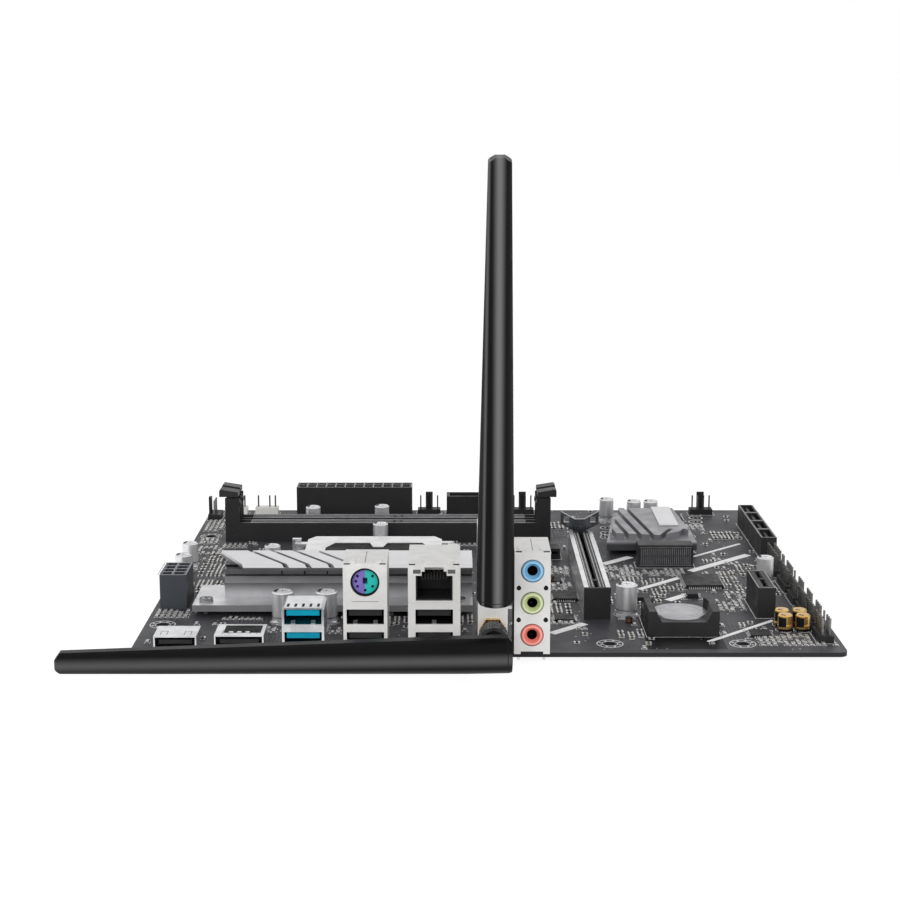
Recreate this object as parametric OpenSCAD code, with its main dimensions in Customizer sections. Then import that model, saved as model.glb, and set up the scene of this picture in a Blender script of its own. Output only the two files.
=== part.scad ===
// Micro-ATX mainboard with a Wi-Fi card and two swivelling blade antennas.
// X runs along the rear connector edge, Y from that edge to the front edge, Z up from the board.
// The origin is the axis of the datum mounting hole, on the underside of the board.
// Places on the board are measured from its left rear corner, seen from the rear.

/* [Circuit board] */
// Length along the rear edge
board_w = 243.84; // [243:0.01:247]
// Depth from the rear edge to the front edge
board_d = 215; // [214:0.5:225]
// Board thickness
pcb_t = 1.6; // [1.2:0.1:2.4]
// Corner radius
board_corner_r = 3; // [1:0.5:5]
// Length of the solder tails below the board
lead_h = 1.8; // [1.2:0.1:3]
// Width of the larger end of a solder tail
lead_d = 1.7; // [1.2:0.1:2.4]

/* [Mounting holes] */
// Diameter of the standoff holes
hole_d = 3.96; // [3.4:0.02:4.4]
// Rear edge to the rear hole row
hole_rear = 10.16; // [9:0.01:12]
// Left edge to the first hole line
hole_left = 6.35; // [5.5:0.01:8]
// First hole line to the datum hole line
hole_span = 157.48; // [156:0.01:159]
// Datum hole line to the last hole line
hole_step = 45.72; // [44:0.01:46.5]
// Rear hole row to the front hole row
hole_depth = 154.94; // [150:0.01:158]
// Rear hole row to the set-back hole by the left edge
hole_setback = 22.86; // [20:0.01:25]

/* [Video ports] */
// How far the port faces stand out past the rear edge
io_overhang = 1.6; // [1:0.1:3]
// Wall of the port shells
shell_t = 0.5; // [0.3:0.05:0.8]
// HDMI port, place along the rear edge
hdmi_x = 16; // [14:0.1:19]
// HDMI shell width
hdmi_w = 14.5; // [14:0.1:16]
// HDMI shell height
hdmi_h = 6.3; // [5.8:0.1:7]
// HDMI shell depth
hdmi_d = 12; // [10:0.5:14]
// DisplayPort, place along the rear edge
dp_x = 37.6; // [36:0.1:40]
// DisplayPort shell width
dp_w = 16.7; // [16:0.1:18]
// DisplayPort shell height
dp_h = 6.6; // [6:0.1:7.2]
// DisplayPort shell depth
dp_d = 13; // [11:0.5:15]

/* [USB ports] */
// Mouth width
usb_mouth_w = 12.6; // [12.2:0.1:13]
// Mouth height
usb_mouth_h = 5.2; // [4.8:0.1:5.3]
// Mouth depth
usb_mouth_d = 13; // [11:0.5:14]
// Height of the lower mouth's floor
usb_low = 2.5; // [2:0.1:2.6]
// Rise from the lower mouth to the upper one
usb_pitch = 7.9; // [7.6:0.1:8]
// Tongue width
usb_tongue_w = 11.1; // [10:0.1:11.6]
// Tongue thickness
usb_tongue_t = 2; // [1.6:0.1:2.3]
// USB 3 stack, place along the rear edge
usb3_x = 59.3; // [57:0.1:61]
// USB 3 stack width
usb3_w = 14.2; // [14:0.1:15]
// USB 3 stack height
usb3_h = 16.2; // [16.1:0.1:18]
// USB 3 stack depth
usb3_d = 15; // [14.5:0.5:18]

/* [PS/2 port] */
// PS/2 stack, place along the rear edge
ps2_x = 80.3; // [78:0.1:82]
// Stack width
ps2_w = 14.8; // [14:0.1:16]
// Stack height
ps2_h = 31.5; // [31:0.1:33]
// Stack depth
ps2_d = 19.3; // [17:0.1:22]
// Diameter of the round mouth
ps2_mouth_d = 9.8; // [9:0.1:11]
// Height of the round mouth's axis
ps2_z = 25; // [23.5:0.1:25.8]

/* [Network port] */
// Network stack, place along the rear edge
lan_x = 103.5; // [101:0.1:105]
// Stack width
lan_w = 17.6; // [16:0.1:19]
// Stack height
lan_h = 31.3; // [31:0.1:33]
// Stack depth
lan_d = 27; // [24:0.5:30]
// Mouth width
rj_w = 12.4; // [12:0.1:13]
// Mouth height
rj_h = 8.7; // [8:0.1:9]
// Height of the mouth's floor
rj_z = 18.6; // [17.5:0.1:19]
// Mouth depth
rj_d = 16; // [14:0.5:18]
// Width of the latch notch above the mouth
notch_w = 6.4; // [5:0.1:8]
// Height of the latch notch
notch_h = 2.9; // [2:0.1:3.1]

/* [Audio jacks] */
// Audio block, place along the rear edge
audio_x = 136.45; // [135:0.1:139]
// Block width
audio_w = 12.1; // [11:0.1:13]
// Block height
audio_h = 35.7; // [34:0.1:38]
// Block depth
audio_d = 20; // [17:0.5:23]
// Height of the lowest jack
jack_low_z = 6.7; // [6:0.1:7.5]
// Rise from one jack to the next
jack_pitch = 11.1; // [10:0.1:11.5]
// Outer diameter of a coloured barrel
barrel_d = 7.4; // [7:0.1:8]
// Length of a barrel
barrel_l = 13.5; // [11:0.5:15]
// Bore for the plug
jack_bore_d = 3.5; // [3.3:0.05:3.8]

/* [Wi-Fi bracket] */
// Antenna jacks, place along the rear edge
antenna_x = 123.2; // [121.5:0.1:124]
// Height of the lower jack
jack_z = 8.6; // [8:0.1:10]
// Rise from the lower jack to the upper one
jack_step = 23; // [21:0.1:23.4]
// Bracket width
bracket_w = 10; // [9.6:0.1:11]
// Bracket height
bracket_h = 40; // [38:0.5:44]
// Bracket depth
bracket_d = 29.5; // [28.5:0.5:33]
// Sheet thickness
bracket_t = 1; // [0.8:0.05:1.1]
// Wi-Fi card length along the board
card_w = 22; // [20:0.5:23]
// Wi-Fi card height
card_h = 30; // [29:0.5:31]
// Wi-Fi card thickness
card_t = 0.8; // [0.6:0.05:1]
// Outer diameter of the jack's thread
thread_d = 6.2; // [5.8:0.05:6.6]
// Jack nut, across flats
jack_nut_af = 8; // [7.6:0.1:8.6]
// Jack nut thickness
jack_nut_t = 2; // [1.5:0.1:2.5]

/* [Antennas] */
// Diameter of the knurled nut
knob_d = 9.8; // [9.4:0.1:11]
// Length of the knurled nut
knob_l = 9.2; // [8:0.1:11]
// End wall of the knurled nut
knob_wall = 1.6; // [1.2:0.1:2.4]
// Number of grooves round the nut
knurl_count = 28; // [16:1:32]
// Diameter of the stem in the nut
stem_d = 4.6; // [4:0.1:5]
// Diameter of the neck
neck_d = 4.2; // [3.6:0.1:4.4]
// Length of the neck, from its collar to the tilt axis
neck_l = 11; // [9:0.1:13]
// Diameter of the hinge knuckle
knuckle_d = 7.4; // [6.6:0.1:7.6]
// Thickness of the hinge knuckle
knuckle_t = 4.8; // [4.6:0.1:5.2]
// Diameter of the hinge pin
pin_d = 3; // [2.4:0.1:3.2]
// Length of the hinge pin
pin_l = 9; // [8:0.1:9.4]
// Blade width at the hinge
blade_w = 11.8; // [11.2:0.1:13]
// Blade width at the tip
blade_tip_w = 6.9; // [6.6:0.1:8]
// Blade depth in front of the tilt axis
blade_front = 5.6; // [5.4:0.1:6.5]
// Blade depth behind the tilt axis
blade_back = 4.6; // [4.2:0.1:5.5]
// Blade length beyond the tilt axis
blade_reach = 139.7; // [130:0.1:150]
// Blade length below the tilt axis
blade_below = 5.3; // [5.2:0.1:6]
// Radiator strip width
radiator_w = 5.2; // [4:0.1:5.4]
// Radiator strip thickness
radiator_t = 1; // [0.6:0.1:1.4]
// Radiator strip length
radiator_l = 104; // [90:1:110]
// Tilt of the upper blade, away from the board
upper_lean = 13; // [0:1:85]
// Tilt of the lower blade, away from the board
lower_lean = 3.5; // [0:0.5:85]

/* [Power sockets] */
// Spacing of the cells
power_pitch = 4.2; // [4.1:0.05:4.3]
// Rim beyond the cells
power_edge = 0.7; // [0.5:0.1:1]
// Socket height
power_h = 13; // [12:0.1:14]
// Cell opening
cell_w = 3.4; // [3:0.1:3.6]
// Cell depth
cell_d = 10; // [8:0.5:11]
// Eight-way socket, from the left edge
eps_x = 7.3; // [6:0.1:8]
// Eight-way socket, from the rear edge
eps_y = 61.8; // [58:0.1:66]
// Twenty-four-way socket, from the left edge
atx_x = 65.8; // [64:0.1:67]

/* [Regulator heatsink] */
// Left end, from the left edge
sink_x = 23; // [22:0.5:26]
// Length
sink_l = 94; // [88:0.5:94.4]
// Front of the base, from the rear edge
sink_base_y = 42; // [41.6:0.1:44]
// Front of the finned body, from the rear edge
sink_body_y = 53; // [51:0.5:54]
// Back, from the rear edge
sink_back_y = 71.5; // [70:0.5:74.5]
// Top above the board
sink_top = 17.5; // [16:0.5:20]
// Clear height below the base
sink_gap = 2.2; // [1.8:0.1:2.6]
// Base thickness
sink_base_t = 2.4; // [1.8:0.1:3]
// Length of the base tab past the left end
sink_tab = 7.3; // [6:0.1:8]
// Height of the rib's underside
rib_z = 13.2; // [12.8:0.1:13.4]
// Thickness of the rib
rib_t = 1.9; // [1.4:0.1:2]
// Height of the shoulder below the rib
shoulder_z = 10; // [9:0.1:11]

/* [Processor socket] */
// Centre, from the left edge
socket_x = 78; // [76.5:0.1:79]
// Centre, from the rear edge
socket_y = 112; // [110.5:0.1:113]
// Frame length
frame_w = 68; // [66:0.5:70]
// Frame depth
frame_d = 50; // [49:0.5:52]
// Frame sheet thickness
frame_t = 1.4; // [1:0.1:1.8]
// Socket body length
body_w = 46; // [44:0.5:48]
// Socket body depth
body_d = 42; // [40:0.5:43]
// Socket body height
body_h = 3.4; // [3:0.1:3.8]
// Height of the load plate's underside
plate_z = 6.2; // [5.8:0.1:7]
// Load plate thickness
plate_t = 1.2; // [1:0.1:1.5]
// Load plate window length
window_w = 42; // [36:0.5:43]
// Load plate window depth
window_d = 24; // [22:0.5:26]
// Diameter of the lever wire
lever_d = 1.9; // [1.6:0.1:2.2]
// Length of the lever arm
lever_l = 56; // [50:0.5:60]

/* [Memory slots] */
// Left end, from the left edge
dimm_x = 13.9; // [13:0.1:14.5]
// Length of a slot
dimm_l = 137.4; // [135:0.1:139]
// First slot, from the rear edge
dimm_y = 155; // [154:0.1:156.5]
// Slot width
dimm_w = 6.5; // [6.2:0.1:7]
// Spacing of the slots
dimm_pitch = 9.5; // [9:0.1:10.5]
// Slot height
dimm_h = 8.3; // [8:0.1:9]
// Height of the end towers
tower_h = 18.8; // [17:0.1:19]
// Length of the end towers
tower_l = 6; // [5.6:0.1:6.6]
// Latch thickness
latch_t = 3.2; // [2.8:0.1:3.4]
// Height of the latch
latch_h = 22.6; // [22:0.1:24]

/* [Expansion slots] */
// Long slot, from the left edge
slot_x = 161.8; // [160:0.1:163]
// Long slot, from the rear edge
slot_y = 39.7; // [36:0.1:42]
// Long slot length
slot_l = 89.2; // [88:0.1:90]
// Slot width
slot_w = 8.7; // [7.4:0.1:9]
// Slot height
slot_h = 11.2; // [10.8:0.1:11.6]
// Shield thickness
shield_t = 0.4; // [0.3:0.05:0.6]
// Short slot, from the right edge
short_in = 20.84; // [19:0.02:23]
// Short slot, from the rear edge
short_y = 41.5; // [39:0.1:45]
// Short slot length
short_l = 25; // [24:0.1:26]
// Short slot width
short_w = 6.4; // [6:0.1:7.8]

/* [Chipset] */
// Heatsink left side, from the left edge
chip_sink_x = 173; // [172.5:0.1:175]
// Heatsink front, from the rear edge
chip_sink_y = 131; // [129:0.1:132]
// Heatsink width
chip_sink_w = 37; // [34:0.5:38]
// Heatsink depth
chip_sink_d = 54; // [50:0.5:55]
// Heatsink top above the board
chip_sink_top = 8.4; // [7.5:0.1:10]
// Chipset package side
chipset_w = 24; // [22:0.5:26]

/* [Battery] */
// Centre, from the left edge
battery_x = 190.4; // [188.5:0.05:191]
// Centre, from the rear edge
battery_y = 31.6; // [31:0.1:33]
// Coin cell diameter
coin_d = 20; // [19:0.1:20.5]
// Coin cell thickness
coin_t = 3.2; // [2.5:0.1:3.6]
// Holder width
holder_w = 24.6; // [24:0.1:26]
// Holder depth
holder_d = 26; // [25:0.1:27]
// Holder height
holder_h = 9; // [8:0.1:9.6]

/* [Capacitors and chokes] */
// Large can diameter
can_large_d = 7.8; // [7.4:0.1:8.4]
// Large can height
can_large_h = 11.5; // [9:0.5:13]
// Small can diameter
can_small_d = 6.3; // [5.5:0.1:6.5]
// Small can height
can_small_h = 10; // [7:0.5:11]
// Gold can diameter
can_gold_d = 5.2; // [4.8:0.1:6]
// Gold can height
can_gold_h = 5.8; // [5:0.1:8]
// Choke side
choke_w = 8; // [7:0.1:8.4]
// Choke height
choke_h = 6.5; // [5:0.1:8]

/* [Drive sockets and headers] */
// Drive socket width
sata_w = 6.4; // [6:0.1:7.5]
// Drive socket length
sata_l = 14.8; // [13.5:0.1:15]
// Drive socket height
sata_h = 8.6; // [8:0.1:10]
// First drive socket, from the rear edge
sata_y = 128; // [126:0.5:132]
// Spacing of the drive sockets
sata_pitch = 15.1; // [15.1:0.1:15.6]
// Spacing of the header pins
pin_pitch = 2.54; // [2.4:0.01:2.6]
// Header pin thickness
pin_t = 0.64; // [0.5:0.02:0.8]
// Header pin height
pin_h = 8.5; // [7.5:0.1:9.5]
// Header base height
header_h = 2.5; // [2:0.1:3]

/* [Hidden] */
$fn = 48;
cut = 1;
fit_gap = 0.05;
run_gap = 0.05;
swing_gap = 0.3;
slack = 0.25;
datum_x = hole_left + hole_span;
datum_y = hole_rear;
hole_spots = [
    [hole_left, hole_rear + hole_setback],
    [hole_left, hole_rear + hole_depth],
    [datum_x, hole_rear],
    [datum_x, hole_rear + hole_depth],
    [datum_x + hole_step, hole_rear],
    [datum_x + hole_step, hole_rear + hole_depth]
];
shell_d = 2.6;
hdmi_bevel = 1.8;
dp_bevel = 2;
usb_recess = 1;
usb_block = 2.5;
ps2_mouth_l = 10;
ps2_recess = 1.4;
liner_t = 0.45;
barrel_proud = 0.5;
seat_d = barrel_d + 2 * fit_gap;
plate_front_y = -io_overhang;
plate_back_y = plate_front_y + bracket_t;
audio_sheet = 0.5;
audio_body_y = plate_front_y + audio_sheet + fit_gap;
seat_end_y = barrel_l - io_overhang - barrel_proud;
flange_t = 1.2;
flange_d = bracket_w - 2 * bracket_t - slack;
tail_d = 4.4;
tail_l = 3.4;
jack_back_y = plate_back_y + flange_t + tail_l;
card_x = -2.5;
card_y = jack_back_y + 0.8;
card_z = 3;
lead_wire_d = 1.2;
plug_y = 3.2;
plug_t = 0.7;
thread_bare = 4;
nut_back_y = plate_front_y - jack_nut_t - thread_bare;
nut_front_y = nut_back_y - knob_l;
nut_bore_end = nut_front_y + knob_wall;
stem_flange_t = 1;
stem_flange_y = nut_bore_end + slack;
thread_end_y = stem_flange_y + stem_flange_t + slack;
collar_t = 1.4;
collar_front_y = nut_front_y - slack - collar_t;
hinge_y = collar_front_y - neck_l;
knuckle_slot = knuckle_t + 2 * slack;
blade_edge = 1;
blade_facet = 0.3;
blade_straight = 9;
bow_y = blade_w / 2 + blade_facet - blade_front;
atx_y = board_d - power_pitch - power_edge - 1;
sink_base_top = sink_gap + sink_base_t;
sink_top_t = 2.2;
screw_y = sink_base_y + 5.6;
screw_spots = [[sink_x - sink_tab + 4.4, screw_y], [sink_x + sink_l - 5, screw_y]];
stage_h = 0.9;
stage_w = 6;
stage_step = 12.5;
stage_count = 7;
stage_x = sink_x + 12;
stage_y = sink_body_y + 8;
choke_y = sink_back_y + 5.4;
rail_t = 1.6;
window_x = 1.9;
plate_d = body_d + 2 * rail_t + 2 * slack;
plate_hinge_x = -frame_w / 2 + 2.5;
plate_mid_z = plate_z + plate_t / 2;
plate_pin_d = 1.6;
lever_x = frame_w / 2 - 2;
lever_z = frame_t + lever_d;
lever_y = frame_d / 2 + 2.5;
groove_w = 1.6;
latch_pivot_x = 3.2;
latch_pivot_z = 5.2;
latch_pin_d = 2;
latch_room = latch_t + 2 * slack;
slot_groove_w = 1.8;
slot_groove_d = 8;
key_w = 1.7;
shield_y = 1.2;
wing_pivot_y = 2.9;
wing_pivot_z = 3.4;
wing_pin_d = 2;
wing_stem_w = 4;
wing_pin_half = 3.4;
chip_sink_gap = 2.4;
chipset_h = 1.5;
coin_floor = 2.4;
front_row_y = board_d - 7;
right_row_x = board_w - 5.4;
sata_x = board_w - 1.7 - sata_w / 2;
short_x = board_w - short_in;
large_cans = [[49, 36.6], [64.6, 36.6], [172.9, 46.2]];
small_cans = [
    [4.9, 94.9],
    [4.9, 113.9],
    [38.2, 109.8],
    [79.7, 147.6],
    [79.1, 181],
    [49.2, 179],
    [178.3, 194.4],
    [190, 190.4],
    [197.4, 190.4],
    [right_row_x - 7.4, 91.5]
];
gold_x = right_row_x - 11.5;
gold_step_x = 6.3;
gold_y = 26.6;
gold_step_y = 6.6;
// Pin headers, each by its centre, its columns, its rows and the place left without a pin
pin_headers = [
    [right_row_x, 17, 2, 5, 7],
    [right_row_x, 33, 2, 5, 9],
    [right_row_x, 49, 2, 5, 9],
    [right_row_x, 65, 2, 5, 9],
    [right_row_x, 84, 2, 7, 3],
    [right_row_x, 109, 2, 9, 5]
];
fan_headers = [
    [3.8, 200, 90],
    [99.4, front_row_y, 0],
    [141.5, front_row_y, 0],
    [right_row_x - 16.4, front_row_y, 0]
];
white_spots = [[12.3, front_row_y], [26.1, front_row_y]];
white_gap = 1;
front_usb_x = 120.5;
front_usb_w = 26.4;
front_usb_d = 9.2;
front_usb_h = 9;
front_usb_wall = 1.4;
fan_pins = 4;
// Card sockets, each by its centre, its width, its depth and its height
card_spots = [
    [142.6, 130, 22, 8, 4.4],
    [right_row_x - 43.4, 116.7, 22, 8, 9.1]
];
// Chips, each by its centre, its two sides and its height
chip_spots = [
    [right_row_x - 21.1, 21, 7, 7, 0.9],
    [right_row_x - 32.4, 200, 12, 12, 1.3],
    [152, 68, 9, 9, 1.1],
    [181, 66, 5, 6, 1.6],
    [149, 92, 6, 6, 0.9],
    [25.5, 92, 6, 6, 0.9],
    [24, 130, 5, 6, 0.9],
    [24, 118, 5, 6, 0.9],
    [24, 106, 5, 6, 0.9],
    [right_row_x - 32, 89.5, 14, 17, 1.4],
    [200, 70, 4, 5, 1.6],
    [164, 190, 8, 8, 1],
    [118, 190, 6, 8, 1],
    [150, 40, 7, 7, 1]
];

// Moves a piece from its place on the board to the model's frame.
module at_board(x, y, z = 0) {
    translate([x - datum_x, y - datum_y, pcb_t + z]) children();
}

// Extrudes a flat outline of width and height towards the rear, over the length given.
module along_y(length) {
    rotate([90, 0, 0]) linear_extrude(length) children();
}

// Extrudes a flat outline of depth and height to the right, over the length given.
module along_x(length) {
    rotate([90, 0, 90]) linear_extrude(length) children();
}

module y_rod(from, to, d) {
    translate([0, to, 0]) rotate([90, 0, 0]) cylinder(d = d, h = to - from);
}

module x_rod(from, to, d) {
    translate([from, 0, 0]) rotate([0, 90, 0]) cylinder(d = d, h = to - from);
}

// A box centred on X, from its rear face towards the front, standing on the board.
module port_box(w, d, h) {
    translate([-w / 2, -io_overhang, 0]) cube([w, d, h]);
}

module centred_box(w, d, h) {
    translate([-w / 2, -d / 2, 0]) cube([w, d, h]);
}

module rounded_outline(w, d, r) {
    translate([r, 0]) square([w - 2 * r, d]);
    translate([0, r]) square([w, d - 2 * r]);
    for (x = [r, w - r], y = [r, d - r]) translate([x, y]) circle(r);
}

module pcb() {
    color("#2b2b30") difference() {
        at_board(0, 0, -pcb_t) linear_extrude(pcb_t) rounded_outline(board_w, board_d, board_corner_r);
        for (spot = hole_spots) at_board(spot.x, spot.y, -pcb_t - cut) {
            cylinder(d = hole_d, h = pcb_t + 2 * cut);
        }
    }
}

module lead() {
    translate([0, 0, -pcb_t - lead_h]) cylinder(d1 = lead_d / 2, d2 = lead_d, h = lead_h);
}

module port_leads(x, w, d) {
    front_in = 3;
    back_in = 4;
    spread = 0.36;
    for (side = [-1, 1], y = [front_in, d - back_in]) at_board(x + side * w * spread, y) lead();
}

module solder_leads() {
    dimm_from = 12;
    dimm_step = 19;
    slot_from = 6;
    slot_step = 15;
    short_from = 5;
    short_step = 13;
    pair_half = 1.5;
    color("#c8c9c6") {
        port_leads(hdmi_x, hdmi_w, hdmi_d);
        port_leads(dp_x, dp_w, dp_d);
        port_leads(usb3_x, usb3_w, usb3_d);
        port_leads(ps2_x, ps2_w, ps2_d);
        port_leads(lan_x, lan_w, lan_d);
        port_leads(audio_x, audio_w, audio_d);
        for (i = [-0.5, 0.5], j = [-1.5:1.5]) at_board(eps_x + i * power_pitch, eps_y + j * power_pitch) {
            lead();
        }
        for (i = [-5.5:5.5], j = [-0.5, 0.5]) at_board(atx_x + i * power_pitch, atx_y + j * power_pitch) {
            lead();
        }
        for (i = [0:6], j = [0, 1]) {
            at_board(dimm_x + dimm_from + i * dimm_step, dimm_y + dimm_w / 2 + j * dimm_pitch) lead();
        }
        for (i = [0:5], side = [-1, 1]) {
            at_board(slot_x + side * pair_half, slot_y + slot_from + i * slot_step) lead();
        }
        for (i = [0, 1], side = [-1, 1]) {
            at_board(short_x + side * pair_half, short_y + short_from + i * short_step) lead();
        }
        for (header = pin_headers, side = [-0.5, 0.5], row = [-1.5, 1.5]) {
            at_board(header.x + side * pin_pitch, header.y + row * pin_pitch) lead();
        }
    }
}

// Outline of a video port, with a bevel at each lower corner.
module mouth_outline(w, h, left, right) {
    polygon([
        [-w / 2, left],
        [-w / 2 + left, 0],
        [w / 2 - right, 0],
        [w / 2, right],
        [w / 2, h],
        [-w / 2, h]
    ]);
}

module mouth_shell(w, h, d, left, right) {
    translate([0, d - io_overhang, 0]) along_y(d) difference() {
        mouth_outline(w, h, left, right);
        translate([0, shell_t]) mouth_outline(w - 2 * shell_t, h - 2 * shell_t, left, right);
    }
}

module mouth_tongue(w, h, d, left, right) {
    inner_w = w - 2 * shell_t - 2 * fit_gap;
    inner_h = h - 2 * shell_t - 2 * fit_gap;
    tongue_t = 1.4;
    tongue_recess = 1.2;
    translate([0, d - io_overhang, shell_t + fit_gap]) along_y(shell_d) {
        mouth_outline(inner_w, inner_h, left, right);
    }
    translate([-inner_w * 0.42, tongue_recess - io_overhang, h * 0.52]) {
        cube([inner_w * 0.84, d - tongue_recess - shell_d / 2, tongue_t]);
    }
}

module hdmi_shell() {
    color("#c9cbcd") at_board(hdmi_x, 0) mouth_shell(hdmi_w, hdmi_h, hdmi_d, hdmi_bevel, hdmi_bevel);
}

module displayport_shell() {
    color("#c9cbcd") at_board(dp_x, 0) mouth_shell(dp_w, dp_h, dp_d, 0, dp_bevel);
}

// The two mouths of a double USB stack.
module usb_mouths() {
    for (level = [0, 1]) {
        translate([-usb_mouth_w / 2, -io_overhang - cut, usb_low + level * usb_pitch]) {
            cube([usb_mouth_w, usb_mouth_d + cut, usb_mouth_h]);
        }
    }
}

module usb_tongue_pair() {
    under_roof = 0.4;
    for (level = [0, 1]) translate([0, 0, usb_low + level * usb_pitch]) {
        translate([-usb_tongue_w / 2, usb_recess - io_overhang, usb_mouth_h - under_roof - usb_tongue_t]) {
            cube([usb_tongue_w, usb_mouth_d - usb_recess - usb_block / 2, usb_tongue_t]);
        }
        translate([-usb_mouth_w / 2 + fit_gap, usb_mouth_d - io_overhang - usb_block, fit_gap]) {
            cube([usb_mouth_w - 2 * fit_gap, usb_block - fit_gap, usb_mouth_h - 2 * fit_gap]);
        }
    }
}

// Spring slits across the roof of a stack.
module roof_slits(w, h, count) {
    slit_w = 0.9;
    slit_l = 4;
    for (i = [0:count - 1]) {
        translate([-w * 0.36 + i * w * 0.72 / (count - 1) - slit_w / 2, 1.2 - io_overhang, h - shell_t / 2]) {
            cube([slit_w, slit_l, cut]);
        }
    }
}

module usb3_shell() {
    bevel = 0.9;
    color("#c9cbcd") at_board(usb3_x, 0) difference() {
        translate([0, usb3_d - io_overhang, 0]) along_y(usb3_d) polygon([
            [-usb3_w / 2, 0],
            [usb3_w / 2, 0],
            [usb3_w / 2, usb3_h - bevel],
            [usb3_w / 2 - bevel, usb3_h],
            [bevel - usb3_w / 2, usb3_h],
            [-usb3_w / 2, usb3_h - bevel]
        ]);
        usb_mouths();
        roof_slits(usb3_w, usb3_h, 5);
    }
}

module usb3_tongues() {
    color("#17a3b5") at_board(usb3_x, 0) usb_tongue_pair();
}

module port_tongues() {
    color("#1b1b1d") {
        at_board(hdmi_x, 0) mouth_tongue(hdmi_w, hdmi_h, hdmi_d, hdmi_bevel, hdmi_bevel);
        at_board(dp_x, 0) mouth_tongue(dp_w, dp_h, dp_d, 0, dp_bevel);
        at_board(ps2_x, 0) usb_tongue_pair();
        at_board(lan_x, 0) usb_tongue_pair();
    }
}

// Two sprung tabs lifted off the roof of a stack, beside its rear face.
module roof_tabs(w, h) {
    tab_w = 2.2;
    tab_l = 5;
    tab_t = 0.5;
    for (side = [-1, 1]) translate([side * w * 0.3 - tab_w / 2, 0.6 - io_overhang, h - fit_gap]) {
        cube([tab_w, tab_l, tab_t]);
    }
}

module ps2_usb_shell() {
    color("#d7d5d1") at_board(ps2_x, 0) {
        difference() {
            port_box(ps2_w, ps2_d, ps2_h);
            usb_mouths();
            translate([0, 0, ps2_z]) y_rod(-io_overhang - cut, ps2_mouth_l - io_overhang, ps2_mouth_d);
        }
        roof_tabs(ps2_w, ps2_h);
    }
}

module ps2_insert() {
    pin_ring = 3.1;
    pin_hole_d = 1;
    key_z = 0.9;
    insert_d = ps2_mouth_d - 2 * fit_gap;
    color("#7b5aa6") at_board(ps2_x, 0, ps2_z) difference() {
        y_rod(ps2_recess - io_overhang, ps2_mouth_l - io_overhang - fit_gap, insert_d);
        for (angle = [35, 90, 145, 215, 325, 180]) {
            rotate([0, angle, 0]) translate([pin_ring, 0, 0]) y_rod(-io_overhang, 6, pin_hole_d);
        }
        translate([-0.8, -io_overhang, -key_z]) cube([1.6, 7, 2.2]);
    }
}

// The mouth of the network jack with its stepped latch notch.
module rj_mouth() {
    step_w = notch_w + 2;
    step_h = notch_h / 2;
    translate([-rj_w / 2, -io_overhang - cut, rj_z]) cube([rj_w, rj_d + cut, rj_h]);
    translate([-step_w / 2, -io_overhang - cut, rj_z + rj_h - cut]) {
        cube([step_w, rj_d / 2 + cut, step_h + cut]);
    }
    translate([-notch_w / 2, -io_overhang - cut, rj_z + rj_h - cut]) {
        cube([notch_w, rj_d / 2 + cut, notch_h + cut]);
    }
}

// The cage of the two lower mouths, with the network jack's housing on top of it.
module lan_usb_shell() {
    lamp_w = 2.6;
    lamp_h = 1.4;
    lamp_d = 0.5;
    lamp_z = rj_z + rj_h + 0.7;
    lamp_x = rj_w / 2 - lamp_w / 2 + 0.9;
    cage_h = rj_z - 0.7;
    color("#d7d5d1") at_board(lan_x, 0) {
        difference() {
            port_box(lan_w, lan_d, cage_h);
            usb_mouths();
        }
        difference() {
            translate([0, 0, cage_h + fit_gap]) port_box(lan_w, lan_d, lan_h - cage_h - fit_gap);
            rj_mouth();
            for (side = [-1, 1]) {
                translate([side * lamp_x - lamp_w / 2, plate_front_y - cut, lamp_z]) {
                    cube([lamp_w, lamp_d + cut, lamp_h]);
                }
            }
        }
        roof_tabs(lan_w, lan_h);
    }
}

module lan_insert() {
    back_t = 2.4;
    outer_w = rj_w - 2 * fit_gap;
    recess = 0.8;
    length = rj_d - recess - fit_gap;
    color("#1b1b1d") at_board(lan_x, recess - io_overhang, rj_z + fit_gap) {
        translate([-outer_w / 2, 0, 0]) cube([outer_w, length, liner_t]);
        for (side = [-1, 1]) {
            translate([side * (outer_w - liner_t) / 2 - liner_t / 2, 0, 0]) {
                cube([liner_t, length, rj_h - 2 * fit_gap]);
            }
        }
        translate([-outer_w / 2, length - back_t, 0]) cube([outer_w, back_t, rj_h - 2 * fit_gap]);
    }
}

// The three jack bodies, one on top of the other, each with the seat for its barrel.
module audio_housing() {
    color("#2a2a2c") at_board(audio_x, 0) for (level = [0:2]) {
        axis_z = jack_low_z + level * jack_pitch;
        low = level == 0 ? 0 : axis_z - jack_pitch / 2 + fit_gap;
        high = level == 2 ? audio_h - audio_sheet - fit_gap : axis_z + jack_pitch / 2;
        difference() {
            translate([-audio_w / 2, audio_body_y, low]) {
                cube([audio_w, audio_d - audio_sheet - fit_gap, high - low]);
            }
            translate([0, 0, axis_z]) y_rod(audio_body_y - cut, seat_end_y, seat_d);
        }
    }
}

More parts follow.
